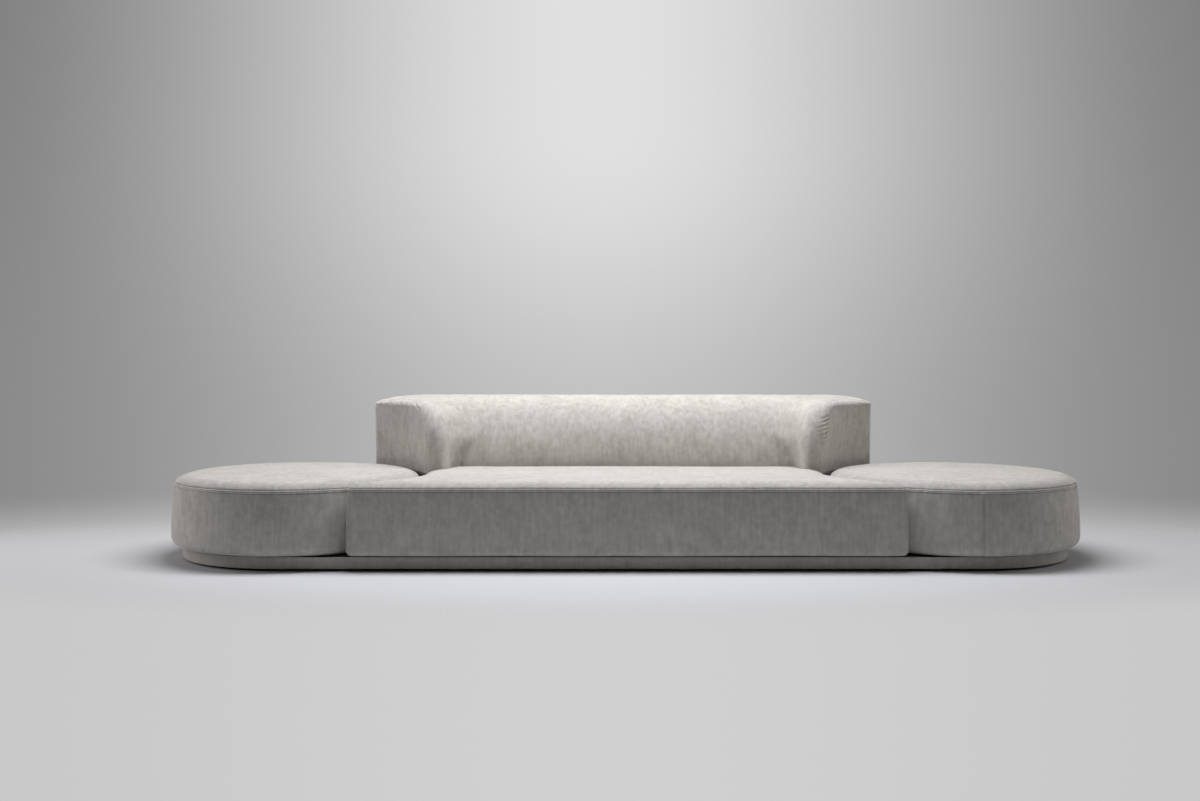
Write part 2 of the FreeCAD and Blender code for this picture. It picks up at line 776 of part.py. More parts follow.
def end_sector(side, inner, outer, y, z):
    """A slice of a ring about a swivel axis, on the side towards the middle of the sofa."""
    offset = side * mm("swivel_offset")
    ring = Part.makeCylinder(outer, z[1] - z[0], vector(offset, 0, z[0]))
    ring = ring.cut(Part.makeCylinder(inner, z[1] - z[0], vector(offset, 0, z[0])))
    near = (0, y[0], z[0]) if side > 0 else (offset, y[0], z[0])
    far = (offset, y[1], z[1]) if side > 0 else (0, y[1], z[1])
    return ring.common(box_between(near, far))


# Centre seat


def seat_cavity(top):
    """The room for the seat frame inside the foam, up to a height."""
    clear = mm("seat_clearance")
    bottom = mm("plinth_top")
    wire = seat_outline(mm("frame_reach") + clear, mm("frame_reach") + clear,
                        mm("end_board_radius") - clear, SHARPEST_NOSE, SHARPEST_NOSE, bottom)
    return prism(wire, top - bottom)


def back_recess():
    """What the seat gives up where the back stands in it."""
    bottom = mm("back_bottom") - mm("seat_clearance")
    return prism(back_plan(-mm("recess_clearance"), bottom), mm("seat_crown") + mm("overrun") - bottom)


def wing_board_form(side, grow, bottom, top):
    """A bent board behind the hollow end of the back, between two heights, grown all round."""
    return end_sector(side, mm("end_board_radius") - grow, mm("end_board_outer") + grow,
                      (mm("wing_board_front") - grow, mm("frame_inner") + grow), (bottom, top))


def back_leg_slot(x, bottom, top):
    clear = mm("seat_clearance")
    half = mm("back_rib_thickness") / 2 + clear
    return box_between((x - half, mm("leg_front") - clear, bottom),
                       (x + half, mm("frame_inner") + clear, top))


def back_rib_places():
    return [side * mm(name) for side in (-1, 1) for name in ("back_rib_inner", "back_rib_outer")]


def make_seat_frame():
    z = ("plinth_top", "seat_frame_top")
    x = ("-rail_half_length", "rail_half_length")
    front = block("seat_rail_front", x, ("-frame_reach", "-frame_inner"), z)
    sub_part(front, "seat_front_rail")
    rear = block("seat_rail_rear", x, ("frame_inner", "frame_reach"), z)
    sub_part(cut("seat_rail_rear_drilled", rear, back_screw_tools("rear_rail_hole")), "seat_rear_rail")
    ribs = []
    for side, word in ((-1, "left"), (1, "right")):
        for step in (0, 1):
            middle = "seat_rib_inner + %d * seat_rib_pitch" % step
            name = "seat_rib_%s_%d" % (word, step)
            rib = block(name + "_block", span(side, middle + " - frame_timber / 2",
                                              middle + " + frame_timber / 2"),
                        ("-frame_inner", "frame_inner"), z)
            holes = [rod("%s_hole_%d" % (name, index), "seat_bolt_radius + bolt_clearance",
                         "seat_bolt_grip + screw_point_room + overrun", (bolt_x, y, "plinth_top - overrun"))
                     for index, (bolt_x, y) in enumerate(seat_bolt_places(side)[2 * step:2 * step + 2])]
            ribs.append(cut(name, rib, holes))
    sub_part(group_of("seat_rib_group", ribs), "seat_ribs")
    straps = []
    for index in range(-SIZES["seat_strap_pairs"], SIZES["seat_strap_pairs"] + 1):
        middle = "%d * webbing_pitch" % index
        straps.append(block("seat_strap_%d" % (index + SIZES["seat_strap_pairs"]),
                            (middle + " - webbing_width / 2", middle + " + webbing_width / 2"),
                            ("-frame_reach", "frame_reach"),
                            ("seat_frame_top", "seat_frame_top + webbing_thickness")))
    sub_part(group_of("seat_strap_group", straps), "seat_webbing")


def make_end_boards(side, word):
    """A bent board at the hollow end of the seat, and the taller wing board behind it."""
    bottom = mm("plinth_top")
    front = end_sector(side, mm("end_board_radius"), mm("end_board_outer"),
                       (-mm("frame_inner"), mm("wing_board_front")), (bottom, mm("seat_frame_top")))
    sub_part(feature("seat_end_board_" + word, front), "seat_end_board_" + word)
    wing = wing_board_form(side, 0.0, bottom, mm("back_rib_top"))
    sub_part(feature("back_wing_board_" + word, wing), "back_wing_board_" + word)


def make_seat_soft():
    crown = mm("seat_crown")
    skin = mm("cover_thickness")
    outside = lofted(seat_plan, seat_rows(0.0))
    inside = lofted(seat_plan, seat_rows(skin))
    cover = outside.cut(inside)
    cover = cover.cut(seat_cavity(mm("upholstery_bottom") + 2 * skin))
    cover = cover.cut(back_recess())
    sub_part(feature("seat_skin", cover), "seat_cover")
    foam = lofted(seat_plan, seat_rows(skin + mm("soft_clearance")))
    cavity_top = mm("seat_frame_top") + mm("webbing_thickness") + mm("seat_clearance")
    foam = foam.cut(seat_cavity(cavity_top))
    foam = foam.cut(back_recess())
    for x in back_rib_places():
        foam = foam.cut(back_leg_slot(x, cavity_top - mm("overrun"), crown))
    for side in (-1, 1):
        foam = foam.cut(wing_board_form(side, mm("seat_clearance"), cavity_top - mm("overrun"), crown))
    sub_part(feature("seat_stuffing", foam), "seat_foam")


def make_seat_bolts():
    bolts = []
    head = ("seat_bolt_head_radius", "seat_bolt_head_height")
    shank = ("seat_bolt_radius", "seat_bolt_head_height + plinth_deck_thickness + seat_bolt_grip")
    for side, word in ((-1, "left"), (1, "right")):
        for index, (x, y) in enumerate(seat_bolt_places(side)):
            place = (x, y, "deck_bottom - seat_bolt_head_height")
            bolts.append(screw("seat_bolt_%s_%d" % (word, index), place, UP, head, shank, place))
    sub_part(group_of("seat_bolt_group", bolts), "seat_bolts")


# Back


def back_screw_places():
    """Two screws behind each leg, as formulas of X and Z."""
    places = []
    for side in (-1, 1):
        for name in ("back_rib_inner", "back_rib_outer"):
            for step in (0, 1):
                level = "plinth_top + back_screw_lower + %d * back_screw_pitch" % step
                places.append((times(side, name), level))
    return places


def back_screw_tools(name):
    """The holes for the screws that hold the legs, from behind the rear rail."""
    holes = []
    start = "frame_reach + overrun"
    depth = "back_screw_length + screw_point_room + overrun"
    for index, (x, z) in enumerate(back_screw_places()):
        holes.append(rod("%s_sink_%d" % (name, index), "back_screw_head_radius + bolt_clearance",
                         "back_screw_head_height + overrun", (x, start, z), TOWARDS_FRONT))
        holes.append(rod("%s_bore_%d" % (name, index), "back_screw_radius + bolt_clearance",
                         depth, (x, start, z), TOWARDS_FRONT))
    return holes


def make_back_screws():
    head = ("back_screw_head_radius", "back_screw_head_height")
    shank = ("back_screw_radius", "back_screw_length")
    screws = []
    for index, (x, z) in enumerate(back_screw_places()):
        place = (x, "frame_reach", z)
        screws.append(screw("back_screw_%d" % index, place, TOWARDS_FRONT, head, shank, place))
    sub_part(group_of("back_screw_group", screws), "back_screws")


def make_back_ribs():
    """Upright plywood ribs. The leg of each one goes down behind the seat to the plinth."""
    corners = [("leg_front", "plinth_top"), ("frame_inner", "plinth_top"), ("frame_inner", "back_bottom"),
               ("frame_reach", "back_bottom"), ("frame_reach", "back_rib_top"),
               ("back_rib_top_front", "back_rib_top"), ("back_rib_front", "back_rib_bend"),
               ("back_rib_front", "back_bottom"), ("leg_front", "back_bottom")]
    ribs = []
    names = [(side, name) for side in (-1, 1) for name in ("back_rib_inner", "back_rib_outer")]
    for index, (side, name) in enumerate(names):
        body = doc.addObject("PartDesign::Body", "back_rib_%d" % index)
        sketch = polygon_sketch(body, "back_rib_outline_%d" % index, "YZ_Plane", corners)
        pad = body.newObject("PartDesign::Pad", "back_rib_pad_%d" % index)
        pad.Profile = sketch
        pad.Midplane = True
        pad.setExpression("Length", formula("back_rib_thickness"))
        place_at(body, times(side, name), "0", "0")
        doc.recompute()
        holes = []
        for step in (0, 1):
            level = "plinth_top + back_screw_lower + %d * back_screw_pitch" % step
            holes.append(rod("back_rib_hole_%d_%d" % (index, step), "back_screw_radius + bolt_clearance",
                             "back_screw_length + screw_point_room + overrun",
                             (times(side, name), "frame_reach + overrun", level), TOWARDS_FRONT))
        ribs.append(cut("back_rib_drilled_%d" % index, body, holes))
    sub_part(group_of("back_rib_group", ribs), "back_ribs")


def make_back_boards():
    top_board = prism(back_plan(mm("back_board_margin"), mm("back_rib_top")), mm("back_top_board_thickness"))
    sub_part(feature("back_board", top_board), "back_top_board")
    reach = "back_rib_outer + back_rib_thickness / 2"
    panel = block("back_panel", ("-(%s)" % reach, reach),
                  ("frame_reach", "frame_reach + back_panel_thickness"), ("back_bottom", "back_rib_top"))
    sub_part(panel, "back_rear_panel")
    straps = []
    for index in range(SIZES["back_strap_count"]):
        level = "back_bottom + back_strap_margin + %d * back_strap_pitch" % index
        straps.append(block("back_strap_%d" % index, ("-(%s)" % reach, reach),
                            ("back_rib_front - webbing_thickness", "back_rib_front"),
                            (level, level + " + webbing_width")))
    sub_part(group_of("back_strap_group", straps), "back_webbing")


def make_back_soft():
    skin = mm("cover_thickness")
    clear = mm("seat_clearance")
    bottom = mm("back_bottom")
    below = bottom - mm("overrun")
    cover = back_form(0.0, bottom).cut(back_form(skin, below))
    sub_part(feature("back_skin", cover), "back_cover")
    foam = back_form(skin + mm("soft_clearance"), bottom).cut(cover)
    reach = mm("back_rib_outer") + mm("back_rib_thickness") / 2 + clear
    front = mm("back_rib_front") - mm("webbing_thickness") - clear
    rear = mm("frame_reach") + mm("back_panel_thickness") + clear
    board_bottom = mm("back_rib_top")
    foam = foam.cut(box_between((-reach, front, below), (reach, rear, mm("back_rib_bend"))))
    foam = foam.cut(box_between((-reach, front, mm("back_rib_bend") - clear),
                                (reach, rear, board_bottom + clear)))
    for side in (-1, 1):
        foam = foam.cut(wing_board_form(side, clear, below, board_bottom + clear))
    outline = Part.Face(back_plan(mm("back_board_margin"), board_bottom - clear))
    board = outline.makeOffset2D(clear).extrude(vector(0, 0, mm("back_top_board_thickness") + 2 * clear))
    sub_part(feature("back_stuffing", foam.cut(board)), "back_foam")


# Swivel bearing and pivot


def groove(name, side):
    """The track that the balls roll in, as a torus to cut from a plate."""
    return primitive("Torus", name, {"Radius1": "race_radius", "Radius2": "ball_radius + ball_clearance"},
                     (times(side, "swivel_offset"), "0", "ball_level"))


def make_plate(side, word, level, bottom, circle, label):
    """A steel ring with screw holes and half of the ball track."""
    name = "%s_%s_plate" % (word, level)
    corners = [("plate_inner_radius", "0"), ("plate_outer_radius", "0"),
               ("plate_outer_radius", "plate_thickness"), ("plate_inner_radius", "plate_thickness")]
    ring = turned_body(name + "_ring", corners)
    drill_ring(ring, name, "plate_screw_radius + bolt_clearance", circle, "plate_screw_count")
    place_at(ring, times(side, "swivel_offset"), "0", bottom)
    sub_part(cut(name, ring, [groove(name + "_track", side)]), label)


def make_plate_screws(side, word):
    head = ("plate_screw_head_radius", "plate_screw_head_height")
    shank = ("plate_screw_radius", "plate_screw_length + plate_screw_head_height")
    for level, circle, turn, height in (
            ("lower", "lower_screw_circle", DOWN, "plinth_top + plate_thickness + plate_screw_head_height"),
            ("upper", "upper_screw_circle", UP, "board_bottom - plate_thickness - plate_screw_head_height")):
        screws = []
        for index, (x, y) in enumerate(ring_places(circle, SIZES["plate_screw_count"], side)):
            name = "%s_%s_screw_%d" % (word, level, index)
            screws.append(screw(name, (x, y, height), turn, head, shank, (x, y, height)))
        sub_part(group_of("%s_%s_screws" % (word, level), screws), "%s_%s_plate_screws" % (word, level))


def make_bearing(side, word):
    make_plate(side, word, "lower", "plinth_top", "lower_screw_circle", word + "_lower_bearing_plate")
    make_plate(side, word, "upper", "board_bottom - plate_thickness", "upper_screw_circle",
               word + "_upper_bearing_plate")
    balls = []
    for index, (x, y) in enumerate(ring_places("race_radius", SIZES["ball_count"], side)):
        balls.append(primitive("Sphere", "%s_ball_%d" % (word, index), {"Radius": "ball_radius"},
                               (x, y, "ball_level")))
    sub_part(group_of(word + "_balls", balls), word + "_bearing_balls")
    make_plate_screws(side, word)
    axis = (times(side, "swivel_offset"), "0")
    thread = rod(word + "_pivot_thread", "pivot_thread_radius", "plinth_deck_thickness",
                 axis + ("deck_bottom",))
    shoulder = rod(word + "_pivot_shoulder", "pivot_radius", "base_board_top + seat_clearance - plinth_top",
                   axis + ("plinth_top",))
    head = rod(word + "_pivot_head", "pivot_head_radius", "pivot_head_height",
               axis + ("base_board_top + seat_clearance",))
    sub_part(fuse(word + "_pivot", [thread, shoulder, head]), word + "_pivot_bolt")


# Round seats


def make_pouf_boards(side, word):
    axis = (times(side, "swivel_offset"), "0")
    below = "board_bottom - overrun"
    through = "pouf_board_thickness + 2 * overrun"
    disc = rod(word + "_base_disc", "drum_radius", "pouf_board_thickness", axis + ("board_bottom",))
    holes = [rod(word + "_base_bore", "pivot_radius + pivot_clearance", through, axis + (below,))]
    for index, (x, y) in enumerate(ring_places("upper_screw_circle", SIZES["plate_screw_count"], side)):
        holes.append(rod("%s_base_screw_hole_%d" % (word, index), "plate_screw_radius + bolt_clearance",
                         through, (x, y, below)))
    sub_part(cut(word + "_base_board", disc, holes), word + "_pouf_base_board")
    top = rod(word + "_top_disc", "drum_radius", "pouf_board_thickness", axis + ("top_board_bottom",))
    sub_part(top, word + "_pouf_top_board")
    height = "top_board_bottom - base_board_top"
    outer = rod(word + "_drum_outer", "drum_radius", height, axis + ("base_board_top",))
    inner = rod(word + "_drum_inner", "drum_radius - drum_thickness", height, axis + ("base_board_top",))
    sub_part(cut(word + "_drum", outer, [inner]), word + "_pouf_drum")


def make_pouf_ribs(side, word):
    """Two boards on edge, halved into each other at the middle, with room for the head of the pivot bolt."""
    reach = "(drum_radius - drum_thickness - seat_clearance)"
    half = "pouf_rib_thickness / 2 + seat_clearance"
    room = "pivot_head_radius + pivot_head_room"
    bottom = "base_board_top"
    top = "top_board_bottom"
    room_top = "base_board_top + pivot_head_height + pivot_head_room"
    middle = "(base_board_top + top_board_bottom) / 2"
    lap = "%s - seat_clearance / 2" % middle
    along = [("-" + reach, bottom), ("-(%s)" % room, bottom), ("-(%s)" % room, room_top), (room, room_top),
             (room, bottom), (reach, bottom), (reach, top), (half, top), (half, lap),
             ("-(%s)" % half, lap), ("-(%s)" % half, top), ("-" + reach, top)]
    upper_lap = "%s + seat_clearance / 2" % middle
    across = [("-" + reach, bottom), ("-(%s)" % room, bottom), ("-(%s)" % room, room_top),
              ("-(%s)" % half, room_top), ("-(%s)" % half, upper_lap), (half, upper_lap), (half, room_top),
              (room, room_top), (room, bottom), (reach, bottom), (reach, top), ("-" + reach, top)]
    ribs = []
    for name, corners, role in (("along", along, "XZ_Plane"), ("across", across, "YZ_Plane")):
        body = doc.addObject("PartDesign::Body", "%s_rib_%s" % (word, name))
        sketch = polygon_sketch(body, "%s_rib_%s_outline" % (word, name), role, corners)
        pad = body.newObject("PartDesign::Pad", "%s_rib_%s_pad" % (word, name))
        pad.Profile = sketch
        pad.Midplane = True
        pad.setExpression("Length", formula("pouf_rib_thickness"))
        place_at(body, times(side, "swivel_offset"), "0", "0")
        ribs.append(body)
    doc.recompute()
    sub_part(group_of(word + "_ribs_crossed", ribs), word + "_pouf_ribs")


def pouf_form(side, skin):
    """The stuffed round form: rows of the cushion profile joined by arcs and turned about the swivel."""
    lower = (mm("upholstery_bottom"), mm("pouf_lower_roll_inset"), mm("pouf_lower_roll_height"))
    upper = (mm("pouf_seam"), mm("pouf_seam_inset"), mm("pouf_crown_run"), mm("pouf_crown_rise"))
    rows = cushion_profile(lower, upper, skin)
    points = [vector(mm("pouf_radius") - inset, 0, height) for height, inset in rows]
    peak = mm("pouf_seam") + mm("pouf_crown_rise") + mm("pouf_dome_rise") - skin
    shoulder = points[-1]
    drop = peak - shoulder.z
    ball = (shoulder.x ** 2 + drop ** 2) / (2 * drop)
    dome_half = vector(shoulder.x / 2, 0, peak - ball + math.sqrt(ball ** 2 - (shoulder.x / 2) ** 2))
    centre_top = vector(0, 0, peak)
    centre_bottom = vector(0, 0, points[0].z)
    edges = [Part.LineSegment(centre_bottom, points[0]).toShape()]
    for first in range(0, len(points) - 1, 2):
        edges.append(Part.Arc(points[first], points[first + 1], points[first + 2]).toShape())
    edges.append(Part.Arc(shoulder, dome_half, centre_top).toShape())
    edges.append(Part.LineSegment(centre_top, centre_bottom).toShape())
    turned = Part.Face(Part.Wire(edges)).revolve(vector(0, 0), vector(0, 0, 1), 360)
    turned.translate(vector(side * mm("swivel_offset"), 0))
    return turned


def make_pouf_soft(side, word):
    skin = mm("cover_thickness")
    clear = mm("seat_clearance")
    bottom = mm("upholstery_bottom")
    axis = vector(side * mm("swivel_offset"), 0, bottom - mm("overrun"))
    cover = pouf_form(side, 0.0).cut(pouf_form(side, skin))
    opening = Part.makeCylinder(mm("drum_radius") - mm("hem_width"), 2 * skin + mm("overrun"), axis)
    sub_part(feature(word + "_pouf_skin", cover.cut(opening)), word + "_pouf_cover")
    foam = pouf_form(side, skin + mm("soft_clearance"))
    room = Part.makeCylinder(mm("drum_radius") + clear, mm("pouf_frame_top") + clear - axis.z, axis)
    sub_part(feature(word + "_pouf_stuffing", foam.cut(room)), word + "_pouf_foam")


def check_and_export():
    """Stop on any failed object or broken solid before a file is written, then write each sub-part."""
    doc.recompute()
    for item in doc.Objects:
        if "Invalid" in item.State or "Error" in item.State:
            raise RuntimeError("%s did not build: %s" % (item.Name, item.State))
    for item in sub_parts:
        shape = item.Shape
        if shape.isNull() or not shape.isValid() or not shape.Solids:
            raise RuntimeError("%s has no valid solid" % item.Label)
    os.makedirs("parts", exist_ok=True)
    for item in sub_parts:
        item.Shape.exportStep("parts/%s.step" % item.Label)
        print("%-32s solids %2d  volume %12.0f" % (item.Label, len(item.Shape.Solids), item.Shape.Volume))
    print("sub-parts", len(sub_parts))


SIDES = ((-1, "left"), (1, "right"))

fill_sheet()
for hand, hand_word in SIDES:
    make_deck(hand, hand_word)
    make_plinth_rim(hand, hand_word)
    make_plinth_ribs(hand, hand_word)
    make_plinth_cover(hand, hand_word)
make_glides()
make_join_bolts()
make_seat_frame()
make_seat_bolts()
make_back_ribs()
make_back_boards()
make_back_screws()
make_seat_soft()
make_back_soft()
for hand, hand_word in SIDES:
    make_end_boards(hand, hand_word)
    make_bearing(hand, hand_word)
    make_pouf_boards(hand, hand_word)
    make_pouf_ribs(hand, hand_word)
    make_pouf_soft(hand, hand_word)
check_and_export()
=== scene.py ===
import json
import math

import bpy
import numpy as np
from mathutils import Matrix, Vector, noise


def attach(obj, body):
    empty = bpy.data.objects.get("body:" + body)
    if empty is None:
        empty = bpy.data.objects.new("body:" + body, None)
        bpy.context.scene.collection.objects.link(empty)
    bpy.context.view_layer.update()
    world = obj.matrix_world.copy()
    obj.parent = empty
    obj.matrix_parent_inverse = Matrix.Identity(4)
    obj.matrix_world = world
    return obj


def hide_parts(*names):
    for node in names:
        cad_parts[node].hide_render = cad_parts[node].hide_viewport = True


# The looks of a long sofa on a low plinth: a fixed centre seat and back, and a round seat that turns at
# each end. Lengths are in metres, the floor is at Z 0 and the sofa faces -Y.

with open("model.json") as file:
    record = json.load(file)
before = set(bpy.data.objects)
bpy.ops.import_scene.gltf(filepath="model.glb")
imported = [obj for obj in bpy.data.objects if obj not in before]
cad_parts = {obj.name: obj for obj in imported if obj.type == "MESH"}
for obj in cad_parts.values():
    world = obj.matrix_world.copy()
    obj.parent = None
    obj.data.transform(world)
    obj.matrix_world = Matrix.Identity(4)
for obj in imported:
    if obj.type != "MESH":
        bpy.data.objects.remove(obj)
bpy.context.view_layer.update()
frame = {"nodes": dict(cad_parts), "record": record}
scene = bpy.context.scene

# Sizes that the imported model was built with
SWIVEL_OFFSET = 1.605
PLINTH_RADIUS = 0.545
PLINTH_BOTTOM = 0.011
PLINTH_TOP = 0.064
UPHOLSTERY_BOTTOM = 0.070
POUF_RADIUS = 0.600
POUF_SEAM = 0.361
END_RADIUS = 0.609
SEAT_FRONT = 0.570
SEAT_REAR = 0.590
SEAT_SEAM = 0.368
SEAT_CROWN = 0.403
BACK_BOTTOM = 0.385
BACK_SEAM = 0.709
BACK_TOP = 0.760
SIDES = ((-1, "left"), (1, "right"))


# Curves in plan


def spread(count):
    """Even shares of a curve, the last left out because the next curve starts there."""
    return np.arange(count) / count


def line(start, end, shares):
    start, end = np.array(start), np.array(end)
    return start + shares[:, None] * (end - start)


def arc(start, middle, end, shares):
    """Points on the arc through three points, at shares of its turn."""
    (ax, ay), (bx, by), (cx, cy) = start, middle, end
    twice = 2 * (ax * (by - cy) + bx * (cy - ay) + cx * (ay - by))
    a2, b2, c2 = ax * ax + ay * ay, bx * bx + by * by, cx * cx + cy * cy
    x = (a2 * (by - cy) + b2 * (cy - ay) + c2 * (ay - by)) / twice
    y = (a2 * (cx - bx) + b2 * (ax - cx) + c2 * (bx - ax)) / twice
    first = math.atan2(ay - y, ax - x)
    turn = (math.atan2(cy - y, cx - x) - first) % (2 * math.pi)
    through = (math.atan2(by - y, bx - x) - first) % (2 * math.pi)
    if through > turn:
        turn -= 2 * math.pi
    angle = first + shares * turn
    radius = math.hypot(ax - x, ay - y)
    return np.stack([x + radius * np.cos(angle), y + radius * np.sin(angle)], 1)


def nose(line_y, radius, end_radius):
    """Start, crown and end of a round corner from a straight front or rear line to the hollow end circle."""
    towards = math.copysign(1.0, line_y)
    reach = end_radius + radius
    y = line_y - math.copysign(radius, line_y)
    x = SWIVEL_OFFSET - math.sqrt(reach ** 2 - y ** 2)
    to_end = ((SWIVEL_OFFSET - x) / reach, -y / reach)
    middle = (to_end[0], to_end[1] + towards)
    length = math.hypot(*middle)
    crown = (x + radius * middle[0] / length, y + radius * middle[1] / length)
    on_end = (x + radius * to_end[0], y + radius * to_end[1])
    return (x, y + towards * radius), crown, on_end


def middle_of_end(first, last, end_radius):
    start = math.atan2(first[1], first[0] - SWIVEL_OFFSET) % (2 * math.pi)
    end = math.atan2(last[1], last[0] - SWIVEL_OFFSET) % (2 * math.pi)
    angle = (start + end) / 2
    return SWIVEL_OFFSET + end_radius * math.cos(angle), end_radius * math.sin(angle)


def whole_ring(half):
    """Mirror the right half of a plan, which runs from the front middle to the rear middle."""
    left = half[1:-1][::-1] * np.array([-1.0, 1.0])
    return np.concatenate([half, left])


def at_height(plan, height):
    return np.column_stack([plan, np.full(len(plan), height)])


# Columns of half the seat's plan
SEAT_LINE = 130
SEAT_NOSE = 20
SEAM_COLUMNS = 24
END_COLUMNS = 60
# The stretch of a hollow end with close columns, next to the seam at its front edge
SEAM_ZONE = 0.06
HOLLOW_LENGTH = 1.4

SEAT_FRONT_NOSE = 0.039
SEAT_REAR_NOSE = 0.032
SHARPEST_NOSE = 0.004


def hollow_shares():
    near = spread(SEAM_COLUMNS) * SEAM_ZONE / HOLLOW_LENGTH
    zone = SEAM_ZONE / HOLLOW_LENGTH
    return np.concatenate([near, zone + spread(END_COLUMNS) * (1 - zone)])


def seat_half(inset):
    """Right half of the seat's plan at an inset from its widest outline."""
    end_radius = END_RADIUS + inset
    front = nose(-(SEAT_FRONT - inset), max(SEAT_FRONT_NOSE - inset, SHARPEST_NOSE), end_radius)
    rear = nose(SEAT_REAR - inset, max(SEAT_REAR_NOSE - inset, SHARPEST_NOSE), end_radius)
    hollow = middle_of_end(front[2], rear[2], end_radius)
    return np.concatenate([
        line((0, -(SEAT_FRONT - inset)), front[0], spread(SEAT_LINE)),
        arc(*front, spread(SEAT_NOSE)),
        arc(front[2], hollow, rear[2], hollow_shares()),
        arc(rear[2], rear[1], rear[0], spread(SEAT_NOSE)),
        line(rear[0], (0, SEAT_REAR - inset), spread(SEAT_LINE)),
        [(0, SEAT_REAR - inset)],
    ])


# The power of an ellipse, and of the fuller curve up the front of a wing
ROUND = 2.0
FULLER = 3.0


def quarter_round(height, start, top, power=ROUND):
    """How much of its run a quarter of an ellipse has covered at a height."""
    part = min(max((height - start) / (top - start), 0.0), 1.0)
    return 1 - (1 - part ** power) ** (1 / power)


def gentle(value, low, high):
    """From 0 to 1 between two values, with a soft start and end."""
    share = min(max((value - low) / (high - low), 0.0), 1.0)
    return share * share * (3 - 2 * share)


# Columns of half the back's plan. There are as many behind the middles of its noses as in front of them.
BACK_LINE = 76
BACK_BEND = 14
BACK_SLANT = 20
WING_NOSE = 24
FACE_COLUMNS = 8
REAR_NOSE = 16
FACE_START = BACK_LINE + 2 * BACK_BEND + BACK_SLANT + WING_NOSE
FACE_END = FACE_START + SEAM_COLUMNS // 2 + FACE_COLUMNS + END_COLUMNS
REAR_LINE = FACE_START - (WING_NOSE + REAR_NOSE) // 2

# Where the back's front and its wings stand at the foot, and how far they lean back up to the top
BACK_FRONT = 0.255
BACK_LEAN = 0.230
WING_SETBACK = 0.100
WING_LEAN = 0.300
# From this height up the wing flows back into the middle part, and ends this far in front of it
WING_FLOW_START = 0.735
WING_AHEAD = 0.030

# The ends draw in up to the seam. Above it the ends and the rear roll over the top.
END_DRAFT = 0.025
END_ROLL = 0.160
REAR_ROLL = 0.035
REAR_CORNER = 0.032
REAR_CORNER_GAIN = 0.018

# A wing has a round tip and a flat outer face, whose columns are close together at its seam
TIP_RADIUS = 0.090
TIP_RADIUS_LOSS = 0.030
FACE_DEPTH = 0.150
FACE_SHARE = FACE_DEPTH / (SEAT_REAR - WING_SETBACK)
FACE_SEAM_ZONE = 0.014
NARROWEST_FACE = 0.03

# The inner side of a wing is tight at the foot and softer up to this height
SOFT_HEIGHT = 0.560
WING_WIDTH = 0.161
WING_WIDTH_GAIN = 0.095
HOLLOW_BEND = 0.045
HOLLOW_BEND_GAIN = 0.055
INNER_BEND = 0.035
INNER_BEND_GAIN = 0.025


def face_shares(width):
    """Shares across the outer face of a wing."""
    zone = FACE_SEAM_ZONE / max(width, NARROWEST_FACE)
    return np.concatenate([spread(SEAM_COLUMNS // 2) * zone, zone + spread(FACE_COLUMNS) * (1 - zone)])


